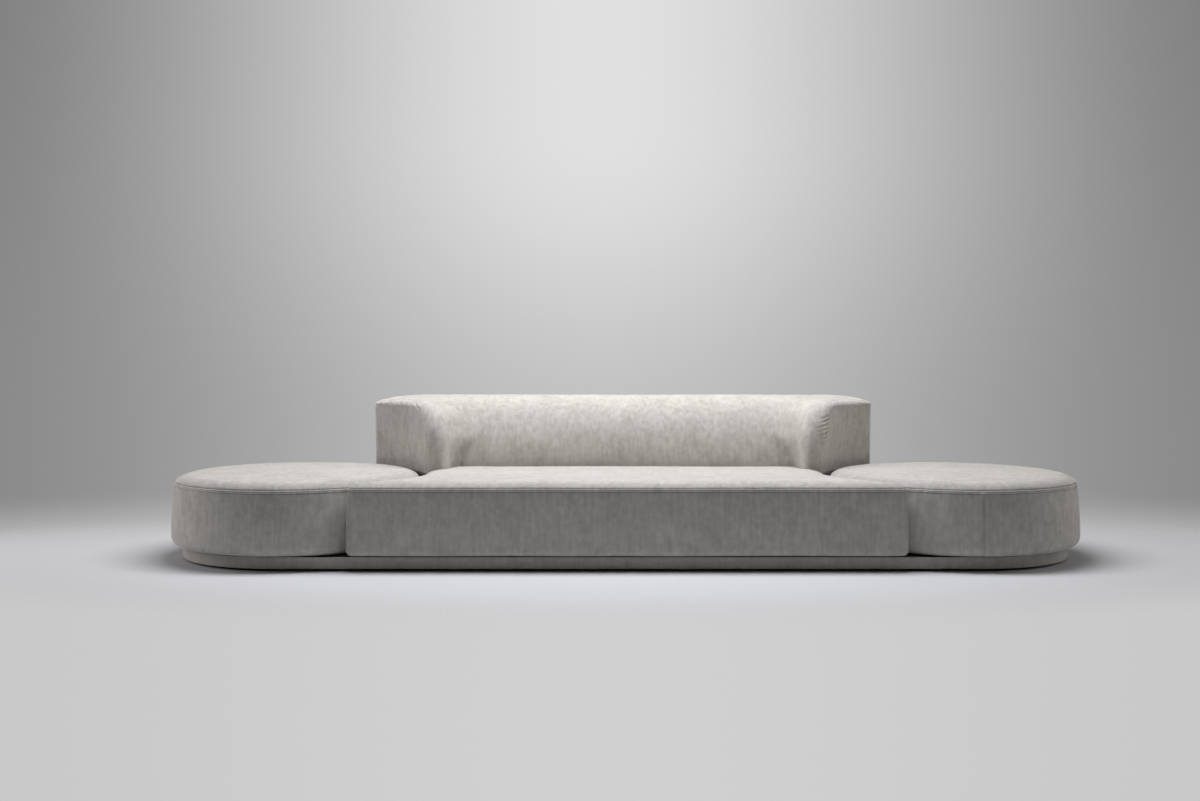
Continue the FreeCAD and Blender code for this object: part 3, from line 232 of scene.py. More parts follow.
def back_half(height):
    """Right half of the back's plan at a height: a wall with a wing forward at its end."""
    rise = min(max((height - BACK_BOTTOM) / (BACK_SEAM - BACK_BOTTOM), 0.0), 1.0)
    over = quarter_round(height, BACK_SEAM, BACK_TOP)
    front = BACK_FRONT + BACK_LEAN * quarter_round(height, SEAT_CROWN, BACK_TOP)
    tip = WING_SETBACK + WING_LEAN * quarter_round(height, SEAT_CROWN, BACK_TOP, FULLER)
    tip += (front - WING_AHEAD - tip) * gentle(height, WING_FLOW_START, BACK_TOP)
    end_radius = END_RADIUS - END_DRAFT * rise + END_ROLL * over
    rear_y = SEAT_REAR - REAR_ROLL * over
    rear = nose(rear_y, REAR_CORNER + REAR_CORNER_GAIN * (rise - over), end_radius)

    # The outer face of the wing goes straight on from the hollow end
    turn = math.asin((tip + FACE_SHARE * (rear_y - tip)) / end_radius)
    joint = (SWIVEL_OFFSET - end_radius * math.cos(turn), end_radius * math.sin(turn))
    outer = TIP_RADIUS - TIP_RADIUS_LOSS * over
    tip_x = joint[0] - (outer + math.sin(turn) * (joint[1] - tip - outer)) / math.cos(turn)

    def on_tip(angle):
        return tip_x + outer * math.cos(angle), tip + outer - outer * math.sin(angle)

    tip_line = (tip_x, tip)
    tip_crown = on_tip((math.pi / 2 + turn) / 2)
    face_start = on_tip(turn)
    face_width = math.hypot(joint[0] - face_start[0], joint[1] - face_start[1])
    hollow = middle_of_end(joint, rear[2], end_radius)

    # The inner side of the wing is a hollow bend, a slanted line and a round bend, all touching
    softness = gentle(height, SEAT_CROWN, SOFT_HEIGHT)
    root_x = SWIVEL_OFFSET - END_RADIUS - WING_WIDTH - WING_WIDTH_GAIN * softness
    hollow_bend = HOLLOW_BEND + HOLLOW_BEND_GAIN * softness
    inner_bend = INNER_BEND + INNER_BEND_GAIN * softness
    run = tip_x - root_x
    drop = front - tip - hollow_bend - inner_bend
    slant = math.asin((hollow_bend + inner_bend) / math.hypot(run, drop)) + math.atan2(drop, run)

    def on_bend(x, y, size, angle):
        return x + size * math.sin(angle), y + size * math.cos(angle)

    root = (root_x, front - hollow_bend, hollow_bend)
    tip_centre = (tip_x, tip + inner_bend, -inner_bend)
    return np.concatenate([
        line((0, front), (root_x, front), spread(BACK_LINE)),
        arc((root_x, front), on_bend(*root, slant / 2), on_bend(*root, slant), spread(BACK_BEND)),
        line(on_bend(*root, slant), on_bend(*tip_centre, slant), spread(BACK_SLANT)),
        arc(on_bend(*tip_centre, slant), on_bend(*tip_centre, slant / 2), tip_line, spread(BACK_BEND)),
        arc(tip_line, tip_crown, face_start, spread(WING_NOSE)),
        line(face_start, joint, face_shares(face_width)),
        arc(joint, hollow, rear[2], spread(END_COLUMNS)),
        arc(rear[2], rear[1], rear[0], spread(REAR_NOSE)),
        line(rear[0], (0, rear_y), spread(REAR_LINE)),
        [(0, rear_y)],
    ])


# Meshes


def grid_faces(rows, columns):
    """Quads between rings that close on themselves, listed upwards so that they face outwards."""
    row = np.arange(rows - 1)[:, None]
    column = np.arange(columns)[None, :]
    after = (column + 1) % columns
    quads = np.stack([row * columns + column, row * columns + after,
                      (row + 1) * columns + after, (row + 1) * columns + column], -1)
    return quads.reshape(-1, 4).tolist()


def patch(ring, ring_numbers, corner, first_new, upwards):
    """Fill a ring with a grid between its four sides. Returns the new points and the faces.

    The ring starts in the front middle. The corner is the column of the front right corner, and the other
    corners mirror it."""
    count = len(ring)
    rear_corner = count // 2 - corner
    front = np.arange(-corner, corner + 1) % count
    right = np.arange(corner, rear_corner + 1)
    rear = np.arange(count - rear_corner, rear_corner - 1, -1)
    left = -right % count
    u = np.linspace(0, 1, len(front))[:, None, None]
    v = np.linspace(0, 1, len(right))[None, :, None]
    south, north = ring[front][:, None], ring[rear][:, None]
    west, east = ring[left][None], ring[right][None]
    blend = ((1 - v) * south + v * north + (1 - u) * west + u * east
             - (1 - u) * (1 - v) * ring[front[0]] - u * (1 - v) * ring[front[-1]]
             - (1 - u) * v * ring[rear[0]] - u * v * ring[rear[-1]])
    numbers = np.zeros((len(front), len(right)), int)
    numbers[:, 0], numbers[:, -1] = ring_numbers[front], ring_numbers[rear]
    numbers[0, :], numbers[-1, :] = ring_numbers[left], ring_numbers[right]
    inner = numbers[1:-1, 1:-1]
    inner[:] = first_new + np.arange(inner.size).reshape(inner.shape)
    quads = np.stack([numbers[:-1, :-1], numbers[1:, :-1], numbers[1:, 1:], numbers[:-1, 1:]], -1)
    if not upwards:
        quads = quads[..., ::-1]
    return blend[1:-1, 1:-1].reshape(-1, 3), quads.reshape(-1, 4).tolist()


def closed_stack(rings, corner):
    """Points and faces of a stack of rings, with a grid over its last ring and one under its first.

    Also returns how many points each grid adds. The upper grid's points come first."""
    points = np.concatenate(rings)
    columns = len(rings[0])
    numbers = np.arange(columns)
    last = (len(rings) - 1) * columns
    top, top_faces = patch(rings[-1], last + numbers, corner, len(points), True)
    foot, foot_faces = patch(rings[0], numbers, corner, len(points) + len(top), False)
    faces = grid_faces(len(rings), columns) + top_faces + foot_faces
    return np.concatenate([points, top, foot]), faces, len(top), len(foot)


def make_piece(name, points, faces, material, body, slot, *nodes):
    mesh = bpy.data.meshes.new(name)
    mesh.from_pydata(np.asarray(points).tolist(), [], faces)
    mesh.validate()
    mesh.update()
    mesh.shade_smooth()
    mesh.materials.append(material)
    piece = bpy.data.objects.new(name, mesh)
    scene.collection.objects.link(piece)
    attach(piece, body)
    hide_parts(*nodes)
    return piece


def normals_of(points, faces):
    mesh = bpy.data.meshes.new("normals")
    mesh.from_pydata(points.tolist(), [], faces)
    found = np.zeros(len(points) * 3, np.float32)
    mesh.vertex_normals.foreach_get("vector", found)
    bpy.data.meshes.remove(mesh)
    return found.reshape(-1, 3).astype(float)


def waves(points, height, size, seed):
    """Smooth noise at each point, up to a height either way, with features of a size."""
    shift = Vector((seed * 7.31, seed * 3.17, seed * 5.53))
    return height * np.array([noise.noise(Vector(p) / size + shift) for p in points])


def bulge(distance, width):
    """1 at a distance of 0, falling to nothing within about two widths."""
    return np.exp(-(distance / width) ** 2)


def pair(distance, place, height, width):
    """A bulge on each side of a line, at a place away from it."""
    return height * bulge(np.abs(distance) - place, width)


# Half the width of a seam with its ridges and stitches
SEAM_REACH = 0.02
# Below the round seams a side starts at this distance from them
SIDE_START = -0.004


def seam_depth(distance):
    """A sewn seam with a line of stitches on each side of it, by the distance from its middle."""
    middle = pair(distance, place=0.0, height=0.0016, width=0.0014)
    stitched = pair(distance, place=0.0072, height=0.0026, width=0.0018)
    puffed = pair(distance, place=0.0038, height=0.0016, width=0.0020)
    return middle + stitched - puffed


def seam_painted_light(distance):
    """A painted highlight on the two ridges of a seam, and painted shade in its middle and its stitched
    grooves.
    """
    ridges = pair(distance, place=0.0042, height=0.30, width=0.0026)
    stitched = pair(distance, place=0.0082, height=0.26, width=0.0022)
    middle = pair(distance, place=0.0, height=0.20, width=0.0012)
    return ridges - stitched - middle


def roll_painted_shade(distance):
    """Painted shade: a little darker over the rolled edge above a seam."""
    start, middle, width, darkening = 0.010, 0.030, 0.035, 0.17
    return np.where(distance > start, -darkening * bulge(distance - middle, width), 0.0)


def set_painted_light(piece, painted_light):
    """Painted light and shade: how much lighter or darker than the rest the colour is drawn at each point,
    as a share.
    """
    attribute = piece.data.attributes.new("painted_light", "FLOAT", "POINT")
    attribute.data.foreach_set("value", np.asarray(painted_light).astype(np.float32))


# Distances from a seam at which a cushion has a row of points: close together over the stitches
FINE_REACH = 0.0095
FINE_STEP = 0.00095
COARSE_REACH = 0.014
COARSE_STEP = 0.0022
SEAM_STEPS = np.concatenate([
    np.arange(-COARSE_REACH, -FINE_REACH, COARSE_STEP),
    np.arange(-FINE_REACH, FINE_REACH + FINE_STEP / 2, FINE_STEP),
    np.arange(COARSE_REACH - COARSE_STEP, COARSE_REACH + COARSE_STEP / 2, COARSE_STEP),
])
BELOW_SEAM = -0.016
ABOVE_SEAM = 0.018
ROLL_ROWS = 9
SIDE_ROWS = 26
CROWN_ROWS = 14
FINE_SAMPLES = 400


def profile_rows(roll_inset, roll_height, seam, seam_inset, run, rise):
    """Points up a cushion's side: lower roll, drawn-in side, seam and crown roll.

    Returns height, inset and distance along the curve from the seam."""
    turn = np.linspace(0, math.pi / 2, FINE_SAMPLES)
    up = np.linspace(0, 1, FINE_SAMPLES)
    side_bottom = UPHOLSTERY_BOTTOM + roll_height
    height = np.concatenate([UPHOLSTERY_BOTTOM + roll_height * (1 - np.cos(turn)),
                             side_bottom + (seam - side_bottom) * up[1:],
                             seam + rise * np.sin(turn[1:])])
    inset = np.concatenate([roll_inset * (1 - np.sin(turn)),
                            seam_inset * up[1:] ** 2,
                            seam_inset + run * (1 - np.cos(turn[1:]))])
    along = np.concatenate([[0], np.cumsum(np.hypot(np.diff(height), np.diff(inset)))])
    along -= np.interp(seam, height, along)
    roll_end = np.interp(side_bottom, height, along)
    wanted = np.concatenate([np.linspace(along[0], roll_end, ROLL_ROWS)[:-1],
                             np.linspace(roll_end, BELOW_SEAM, SIDE_ROWS)[:-1],
                             SEAM_STEPS,
                             np.linspace(ABOVE_SEAM, along[-1], CROWN_ROWS)])
    return np.interp(wanted, along, height), np.interp(wanted, along, inset), wanted


# Materials

# The colour sockets of a Mix node, whose names it shares with its other sockets
MIX_FACTOR = 0
MIX_FIRST = 6
MIX_SECOND = 7
MIX_RESULT = 2


def node_material(name):
    material = bpy.data.materials.new(name)
    material.use_nodes = True
    tree = material.node_tree
    return material, tree, tree.nodes["Principled BSDF"]


def add(tree, kind, **values):
    node = tree.nodes.new(kind)
    for key, value in values.items():
        setattr(node, key, value)
    return node


def set_inputs(node, values):
    for name, value in values.items():
        node.inputs[name].default_value = value


def noise_at(tree, scale, stretch=(1, 1, 1), detail=3.0):
    """Noise over the object's own coordinates, in features per metre, stretched along the axes."""
    place = add(tree, "ShaderNodeTexCoord")
    mapping = add(tree, "ShaderNodeMapping")
    texture = add(tree, "ShaderNodeTexNoise")
    set_inputs(mapping, {"Scale": stretch})
    set_inputs(texture, {"Scale": scale, "Detail": detail})
    tree.links.new(place.outputs["Object"], mapping.inputs["Vector"])
    tree.links.new(mapping.outputs["Vector"], texture.inputs["Vector"])
    return texture.outputs["Fac"]


def bands_at(tree, scale, direction, **values):
    """Bands across the object's own coordinates."""
    place = add(tree, "ShaderNodeTexCoord")
    texture = add(tree, "ShaderNodeTexWave", wave_type="BANDS", bands_direction=direction)
    set_inputs(texture, {"Scale": scale, **values})
    tree.links.new(place.outputs["Object"], texture.inputs["Vector"])
    return texture.outputs["Fac"]


def blend_of(tree, weighted):
    """Sum of (output, low, high), each output stretched from 0.3 to 0.7 over its own range."""
    total = None
    for output, low, high in weighted:
        spreader = add(tree, "ShaderNodeMapRange")
        set_inputs(spreader, {"From Min": 0.3, "From Max": 0.7, "To Min": low, "To Max": high})
        tree.links.new(output, spreader.inputs["Value"])
        if total is None:
            total = spreader.outputs["Result"]
            continue
        adder = add(tree, "ShaderNodeMath", operation="ADD")
        tree.links.new(total, adder.inputs[0])
        tree.links.new(spreader.outputs["Result"], adder.inputs[1])
        total = adder.outputs["Value"]
    return total


def ramp(tree, factor, dark, light):
    mix = add(tree, "ShaderNodeMix", data_type="RGBA")
    mix.inputs[MIX_FIRST].default_value = (*dark, 1)
    mix.inputs[MIX_SECOND].default_value = (*light, 1)
    tree.links.new(factor, mix.inputs[MIX_FACTOR])
    return mix.outputs[MIX_RESULT]


def bump(tree, shader, height, strength, distance):
    node = add(tree, "ShaderNodeBump")
    set_inputs(node, {"Strength": strength, "Distance": distance})
    tree.links.new(height, node.inputs["Height"])
    tree.links.new(node.outputs["Normal"], shader.inputs["Normal"])


def velvet(name, dark, light):
    """A short dense pile: cloudy patches where the nap lies another way, upright streaks and fine fibres."""
    material, tree, shader = node_material(name)
    set_inputs(shader, {"Roughness": 0.95, "Specular IOR Level": 0.1, "Sheen Weight": 0.35,
                        "Sheen Roughness": 0.35, "Sheen Tint": (1.0, 0.98, 0.97, 1)})
    clouds = noise_at(tree, 9.0)
    patches = noise_at(tree, 34.0, detail=4.0)
    streaks = noise_at(tree, 60.0, stretch=(1.0, 1.0, 0.14), detail=2.0)
    fibres = noise_at(tree, 420.0, stretch=(1.0, 1.0, 0.5), detail=2.0)
    factor = blend_of(tree, [(clouds, 0.0, 0.24), (patches, 0.0, 0.34), (streaks, 0.0, 0.30),
                             (fibres, 0.0, 0.12)])
    # The painted light and shade held on the mesh make the colour lighter or darker
    painted_light = add(tree, "ShaderNodeAttribute", attribute_name="painted_light")
    share = add(tree, "ShaderNodeMath", operation="ADD")
    share.inputs[1].default_value = 1.0
    colour_with_painted_light = add(tree, "ShaderNodeVectorMath", operation="SCALE")
    tree.links.new(painted_light.outputs["Fac"], share.inputs[0])
    tree.links.new(ramp(tree, factor, dark, light), colour_with_painted_light.inputs[0])
    tree.links.new(share.outputs["Value"], colour_with_painted_light.inputs["Scale"])
    tree.links.new(colour_with_painted_light.outputs["Vector"], shader.inputs["Base Color"])
    pile = blend_of(tree, [(fibres, 0.0, 0.7), (patches, 0.0, 0.3)])
    bump(tree, shader, pile, strength=0.35, distance=0.0010)
    return material


def plywood(name, dark, light):
    material, tree, shader = node_material(name)
    set_inputs(shader, {"Roughness": 0.6})
    plies = bands_at(tree, 110.0, "Z", **{"Distortion": 1.5, "Detail Scale": 2.0})
    grain = noise_at(tree, 30.0, stretch=(0.15, 1.0, 1.0), detail=6.0)
    factor = blend_of(tree, [(grain, 0.0, 0.6), (plies, 0.0, 0.3)])
    tree.links.new(ramp(tree, factor, dark, light), shader.inputs["Base Color"])
    bump(tree, shader, grain, strength=0.15, distance=0.0006)
    return material


def zinc_plated_steel():
    material, tree, shader = node_material("zinc_plated_steel")
    set_inputs(shader, {"Metallic": 1.0})
    brushed = noise_at(tree, 300.0, stretch=(0.06, 1.0, 1.0), detail=4.0)
    colour = ramp(tree, brushed, (0.50, 0.50, 0.49), (0.66, 0.66, 0.65))
    tree.links.new(colour, shader.inputs["Base Color"])
    tree.links.new(blend_of(tree, [(brushed, 0.28, 0.46)]), shader.inputs["Roughness"])
    bump(tree, shader, brushed, strength=0.08, distance=0.0003)
    return material


def elastic_webbing():
    material, tree, shader = node_material("elastic_webbing")
    set_inputs(shader, {"Roughness": 0.9})
    threads = bands_at(tree, 260.0, "DIAGONAL")
    worn = noise_at(tree, 40.0)
    factor = blend_of(tree, [(threads, 0.0, 0.6), (worn, 0.0, 0.4)])
    colour = ramp(tree, factor, (0.05, 0.05, 0.055), (0.16, 0.15, 0.14))
    tree.links.new(colour, shader.inputs["Base Color"])
    bump(tree, shader, threads, strength=0.5, distance=0.0008)
    return material


def moulded_plastic():
    material, tree, shader = node_material("moulded_plastic")
    grain = noise_at(tree, 900.0)
    colour = ramp(tree, grain, (0.020, 0.020, 0.021), (0.034, 0.034, 0.035))
    tree.links.new(colour, shader.inputs["Base Color"])
    tree.links.new(blend_of(tree, [(grain, 0.45, 0.62)]), shader.inputs["Roughness"])
    bump(tree, shader, grain, strength=0.25, distance=0.0003)
    return material


cloth = velvet("greige_velvet", (0.37, 0.352, 0.328), (0.65, 0.625, 0.594))
plinth_cloth = velvet("plinth_velvet", (0.36, 0.345, 0.315), (0.56, 0.54, 0.50))
# Painted shadow: plywood drawn near black where slits between the covers show the wood
painted_shadow_wood = plywood("painted_shadow_plywood", (0.030, 0.026, 0.022), (0.060, 0.052, 0.044))
pale_wood = plywood("plywood", (0.46, 0.30, 0.16), (0.68, 0.50, 0.31))
MATERIALS = {
    "plywood": pale_wood,
    "steel": zinc_plated_steel(),
    "webbing": elastic_webbing(),
    "glide_plastic": moulded_plastic(),
    "upholstery": cloth,
    "plinth_fabric": plinth_cloth,
}


# Round seats

POUF_COLUMNS = 440
POUF_TOP_RINGS = 42
POUF_DOME = 0.011
# The hollow under a cushion, which takes its frame
POUF_CAVITY_RADIUS = 0.545
POUF_ROOF_RADIUS = 0.54
POUF_CAVITY_TOP = 0.255
# The distances from the seam that stand for the inside of a hollow and for the middle of a top
INSIDE = -1.0
ON_TOP = 1.0
# Where the upright seam of the side band starts, and where its knot lies, from the round seam
BAND_SEAM_START = -0.009
KNOT_PLACE = -0.005


def make_pouf(side, word, seam_angle):
    height, inset, along = profile_rows(roll_inset=0.035, roll_height=0.045, seam=POUF_SEAM,
                                        seam_inset=0.015, run=0.085, rise=0.041)
    angle = np.linspace(0, 2 * math.pi, POUF_COLUMNS, endpoint=False)
    radius = POUF_RADIUS - inset
    shoulder = radius[-1]
    top_rings = np.linspace(1, 0, POUF_TOP_RINGS + 2)[1:-1]
    peak = height[-1] + POUF_DOME
    all_radius = np.concatenate([[POUF_ROOF_RADIUS, POUF_CAVITY_RADIUS], radius, shoulder * top_rings])
    all_height = np.concatenate([[POUF_CAVITY_TOP, UPHOLSTERY_BOTTOM], height,
                                 peak - POUF_DOME * top_rings ** 2])
    all_along = np.concatenate([[INSIDE, INSIDE], along, along[-1] + shoulder * (1 - top_rings)])
    rows = len(all_radius)
    points = np.stack([all_radius[:, None] * np.cos(angle), all_radius[:, None] * np.sin(angle),
                       np.repeat(all_height[:, None], POUF_COLUMNS, 1)], -1).reshape(-1, 3)
    faces = grid_faces(rows, POUF_COLUMNS)
    top_centre, roof_centre = len(points), len(points) + 1
    points = np.concatenate([points, [(0, 0, peak), (0, 0, POUF_CAVITY_TOP)]])
    last = (rows - 1) * POUF_COLUMNS
    for column in range(POUF_COLUMNS):
        after = (column + 1) % POUF_COLUMNS
        faces.append([last + column, last + after, top_centre])
        faces.append([after, column, roof_centre])
    distance = np.concatenate([np.repeat(all_along, POUF_COLUMNS), [ON_TOP, INSIDE]])
    turn = np.concatenate([np.tile(angle, rows), [0, 0]])
    across, knot = band_seam(turn, distance, seam_angle)
    relief = pouf_relief(points, distance, turn, across, seed=side) + 0.0045 * knot
    points = points + normals_of(points, faces) * relief[:, None]
    points[:, 0] += side * SWIVEL_OFFSET
    piece = make_piece("%s_pouf_upholstery" % word, points, faces, cloth, "%s_pouf" % word, "upholstery",
                       "%s_pouf_cover" % word, "%s_pouf_foam" % word)
    # Painted shade along the upright seam of the side band, and a painted highlight on its knot
    on_band = (distance < BAND_SEAM_START) & (distance > INSIDE)
    upright = np.where(on_band, 0.30 * bulge(across, 0.004), 0.0)
    set_painted_light(piece, seam_painted_light(distance) + roll_painted_shade(distance) - upright + 0.35 * knot)


def band_seam(turn, distance, seam_angle):
    """Distance from the upright seam of the side band, and the small knot where it meets the round seam."""
    off = (turn - seam_angle + math.pi) % (2 * math.pi) - math.pi
    across = np.abs(off) * POUF_RADIUS
    return across, bulge(across, 0.010) * bulge(distance - KNOT_PLACE, 0.007)


def pouf_relief(points, distance, turn, across, seed):
    """How far each point of a round seat stands out from its smooth form."""
    outside = distance > INSIDE
    slow = waves(points, height=0.0016, size=0.22, seed=seed + 4)
    quick = waves(points, height=0.0005, size=0.05, seed=seed + 9)
    # Small puckers where the top panel is eased into the round seam
    around, up = 22, 9
    ring = np.stack([np.cos(turn) * around, np.sin(turn) * around, distance * up], 1)
    pucker = waves(ring, height=0.0011, size=1.0, seed=seed + 15) * np.exp(-np.abs(distance) / 0.035)
    on_side = (distance < SIDE_START) & outside
    upright = np.where(on_side, 0.0024 * bulge(across, 0.006), 0.0)
    return np.where(outside, slow + quick + pucker, 0.0) - seam_depth(distance) - upright


# Centre seat

SEAT_SEAM_INSET = 0.010
SEAT_CROWN_RUN = 0.095
SEAT_CAVITY_INSET = 0.032
SEAT_CAVITY_TOP = 0.256


def make_seat():
    height, inset, along = profile_rows(roll_inset=0.020, roll_height=0.030, seam=SEAT_SEAM,
                                        seam_inset=SEAT_SEAM_INSET, run=SEAT_CROWN_RUN,
                                        rise=SEAT_CROWN - SEAT_SEAM)
    cavity_plan = whole_ring(seat_half(SEAT_CAVITY_INSET))
    rings = [at_height(cavity_plan, h) for h in (SEAT_CAVITY_TOP, UPHOLSTERY_BOTTOM)]
    rings += [at_height(whole_ring(seat_half(i)), h) for h, i in zip(height, inset)]
    columns = len(cavity_plan)
    points, faces, top_count, roof_count = closed_stack(rings, SEAT_LINE + SEAT_NOSE // 2)
    distance = np.concatenate([np.full(2 * columns, INSIDE), np.repeat(along, columns),
                               np.full(top_count, ON_TOP), np.full(roof_count, INSIDE)])
    points = points + normals_of(points, faces) * seat_relief(points, distance)[:, None]
    points[:, 2] -= tuck_under_back(points) * (distance > 0)
    piece = make_piece("seat_upholstery", points, faces, cloth, "base", "upholstery",
                       "seat_cover", "seat_foam")
    # A painted highlight down the upright seams at the seat's front corners
    on_side = (distance > INSIDE) & (distance < SIDE_START)
    corner_painted_highlight = np.where(on_side, 0.32 * bulge(corner_distance(points), 0.006), 0.0)
    set_painted_light(piece, seam_painted_light(distance) + roll_painted_shade(distance) + corner_painted_highlight)


def corner_distance(points):
    """How far points are from the upright seams where the front meets the hollow ends."""
    corner = seat_half(0.0)[SEAT_LINE + SEAT_NOSE]
    return np.hypot(np.abs(points[:, 0]) - corner[0], points[:, 1] - corner[1])


def seat_relief(points, distance):
    """How far each point of the seat stands out from its smooth form."""
    outside = distance > INSIDE
    slow = waves(points, height=0.0018, size=0.30, seed=21)
    quick = waves(points, height=0.0005, size=0.06, seed=22)
    flattened = points * np.array([1, 1, 0.2])
    pucker = waves(flattened, height=0.0012, size=0.035, seed=23) * np.exp(-np.abs(distance) / 0.030)
    on_side = outside & (distance < SIDE_START)
    upright = np.where(on_side, seam_depth(corner_distance(points)), 0.0)
    return np.where(outside, slow + quick + pucker, 0.0) - seam_depth(distance) - upright


def tuck_under_back(points):
    """How far the seat's top is pressed down where the back stands on it."""
    outline = whole_ring(back_half(SEAT_CROWN))
    inside, away = inside_and_away(points[:, :2], outline)
    signed = np.where(inside, -away, away)
    return np.interp(signed, [-0.016, 0.0, 0.008, 0.020], [0.020, 0.004, 0.0008, 0.0])


FAR_AWAY = 9.0
NEARLY_NOTHING = 1e-12


def inside_and_away(points, outline):
    """Whether points lie inside a closed outline, and how far they are from it."""
    inside = np.zeros(len(points), bool)
    for start, end in zip(outline, np.roll(outline, -1, 0)):
        step = end - start
        crosses = (start[1] > points[:, 1]) != (end[1] > points[:, 1])
        if crosses.any():
            x = start[0] + (points[:, 1] - start[1]) * step[0] / step[1]
            inside ^= crosses & (points[:, 0] < x)
    return inside, distance_to_path(points, np.concatenate([outline, outline[:1]]))


def distance_to_path(points, path):
    away = np.full(len(points), FAR_AWAY)
    for start, end in zip(path[:-1], path[1:]):
        step = end - start
        along = np.clip(((points - start) @ step) / max(step @ step, NEARLY_NOTHING), 0, 1)
        away = np.minimum(away, np.linalg.norm(points - start - along[:, None] * step, axis=1))
    return away


# Back

# The foot of the back follows the seat where its crown falls: by how much, ring by ring from the lowest
FOOT_FOLLOWS = (1.0, 0.8, 0.5)
DEEPEST_FOOT = 0.018
FOOT_STEP = 0.394
CORNER_TOP = 0.745

# The seam of an end panel goes straight up to here and then bends back over the top
SEAM_BEND = 0.700
UPRIGHT_STEPS = 70
OVER_TOP_STEPS = 70

# The gathers at the right-hand end panel, and the heights between which the rings are close together
GATHERS_START = 0.515
GATHERS_SPAN = 0.161
CLOSE_FROM = 0.505
CLOSE_TO = 0.690


def back_heights():
    roll = BACK_TOP - BACK_SEAM
    start = math.asin((CORNER_TOP - BACK_SEAM) / roll)
    turn = np.linspace(start, math.pi / 2, 17)[1:]
    return np.concatenate([[BACK_BOTTOM, FOOT_STEP],
                           np.linspace(SEAT_CROWN, CLOSE_FROM, 13, endpoint=False),
                           np.linspace(CLOSE_FROM, CLOSE_TO, 62, endpoint=False),
                           np.linspace(CLOSE_TO, CORNER_TOP, 22),
                           BACK_SEAM + roll * np.sin(turn)])


def end_panel_seam():
    """The seam round the right end panel of the back: up the edge of the wing and back along the top."""
    path = []
    for height in np.linspace(BACK_BOTTOM, SEAM_BEND, UPRIGHT_STEPS):
        x, y = back_half(height)[FACE_START]
        path.append((x, y, height))
    start_y = path[-1][1]
    bends = [(start_y, SEAM_BEND), (start_y + 0.030, 0.716), (start_y + 0.065, 0.730), (0.400, 0.7325),
             (0.440, 0.731), (0.480, 0.722), (0.510, 0.710), (0.525, 0.705)]
    bends_y, bends_z = zip(*bends)
    for share in np.linspace(0, 1, OVER_TOP_STEPS)[1:]:
        along = share * (len(bends) - 1)
        y = np.interp(along, range(len(bends)), bends_y)
        height = np.interp(along, range(len(bends)), bends_z)
        end = back_half(height)[FACE_START:FACE_END]
        path.append((np.interp(y, end[:, 1], end[:, 0]), y, height))
    return np.array(path)


def crown_fall(points):
    """How far the seat's crown has dropped at points near a hollow end."""
    inward = np.hypot(np.abs(points[:, 0]) - SWIVEL_OFFSET, points[:, 1]) - END_RADIUS
    share = np.clip((SEAT_SEAM_INSET + SEAT_CROWN_RUN - inward) / SEAT_CROWN_RUN, 0, 1)
    return (SEAT_CROWN - SEAT_SEAM) * (1 - np.sqrt(1 - share ** 2))


def make_back():
    rings = [at_height(whole_ring(back_half(height)), height) for height in back_heights()]
    for ring, part in zip(rings, FOOT_FOLLOWS):
        ring[:, 2] -= part * np.minimum(crown_fall(ring), DEEPEST_FOOT)
    points, faces, _, _ = closed_stack(rings, FACE_START - WING_NOSE // 2)
    seam = end_panel_seam()
    points = points + normals_of(points, faces) * back_relief(points, seam)[:, None]
    piece = make_piece("back_upholstery", points, faces, cloth, "base", "upholstery",
                       "back_cover", "back_foam")
    away = seam_distance(points, seam)
    # Painted shade along the foot of the back where it stands on the seat, and on the end panels
    foot_painted_shade = 0.16 * bulge(points[:, 2] - SEAT_CROWN, 0.030)
    painted_light = np.where(away < SEAM_REACH, seam_painted_light(away), 0.0) - 0.06 * on_end_panel(points, seam) - foot_painted_shade
    # A painted highlight on each gather's ridge and painted shade in its groove
    painted_light_per_metre = 55
    set_painted_light(piece, painted_light + painted_light_per_metre * gathers(points, away, seam))


def on_end_panel(points, seam):
    """1 on the end panels, which get painted shade, and 0 elsewhere."""
    middle_part, beside_end, rear_edge, soft_edge = 0.9, 0.012, 0.565, 0.003
    upright, over_top = seam[:UPRIGHT_STEPS], seam[UPRIGHT_STEPS - 1:]
    behind = points[:, 1] - np.interp(points[:, 2], upright[:, 2], upright[:, 1])
    below = np.interp(points[:, 1], over_top[:, 1], over_top[:, 2]) - points[:, 2]
    reach = np.hypot(np.abs(points[:, 0]) - SWIVEL_OFFSET, points[:, 1])
    on_end = ((np.abs(points[:, 0]) > middle_part) & (reach < END_RADIUS + beside_end)
              & (points[:, 1] < rear_edge))
    past = np.where(points[:, 2] < SEAM_BEND, behind, below)
    return np.where(on_end, np.clip(past / soft_edge, 0, 1), 0.0)


def seam_distance(points, seam):
    """How far points of the back are from the seams round its end panels, and 1 where that is far."""
    wing_start, above_foot = 0.75, 0.004
    mirrored = points.copy()
    mirrored[:, 0] = np.abs(mirrored[:, 0])
    near = (mirrored[:, 0] > wing_start) & (mirrored[:, 2] > BACK_BOTTOM + above_foot)
    away = np.full(len(points), 1.0)
    away[near] = distance_to_path(mirrored[near], seam)
    return away


def back_relief(points, seam):
    """How far each point of the back stands out from its smooth form."""
    above_seat = points[:, 2] > SEAT_CROWN - 0.002
    slow = waves(points, height=0.0020, size=0.25, seed=31)
    quick = waves(points, height=0.0005, size=0.05, seed=32)
    away = seam_distance(points, seam)
    sewn = np.where(away < SEAM_REACH, seam_depth(away), 0.0)
    # A few slanted puckers at the top of the left-hand seam
    period, slant, top, top_width, length = 0.026, 0.8, 0.715, 0.022, 0.03
    slanted = np.sin((points[:, 0] * slant + points[:, 2]) * 2 * math.pi / period)
    puckers = 0.0016 * slanted * bulge(points[:, 2] - top, top_width) * bulge(away, length)
    at_left = (points[:, 0] < 0) & (away < 0.08)
    return (np.where(above_seat, slow + quick, 0.0) - sewn + gathers(points, away, seam)
            + np.where(at_left, puckers, 0.0))


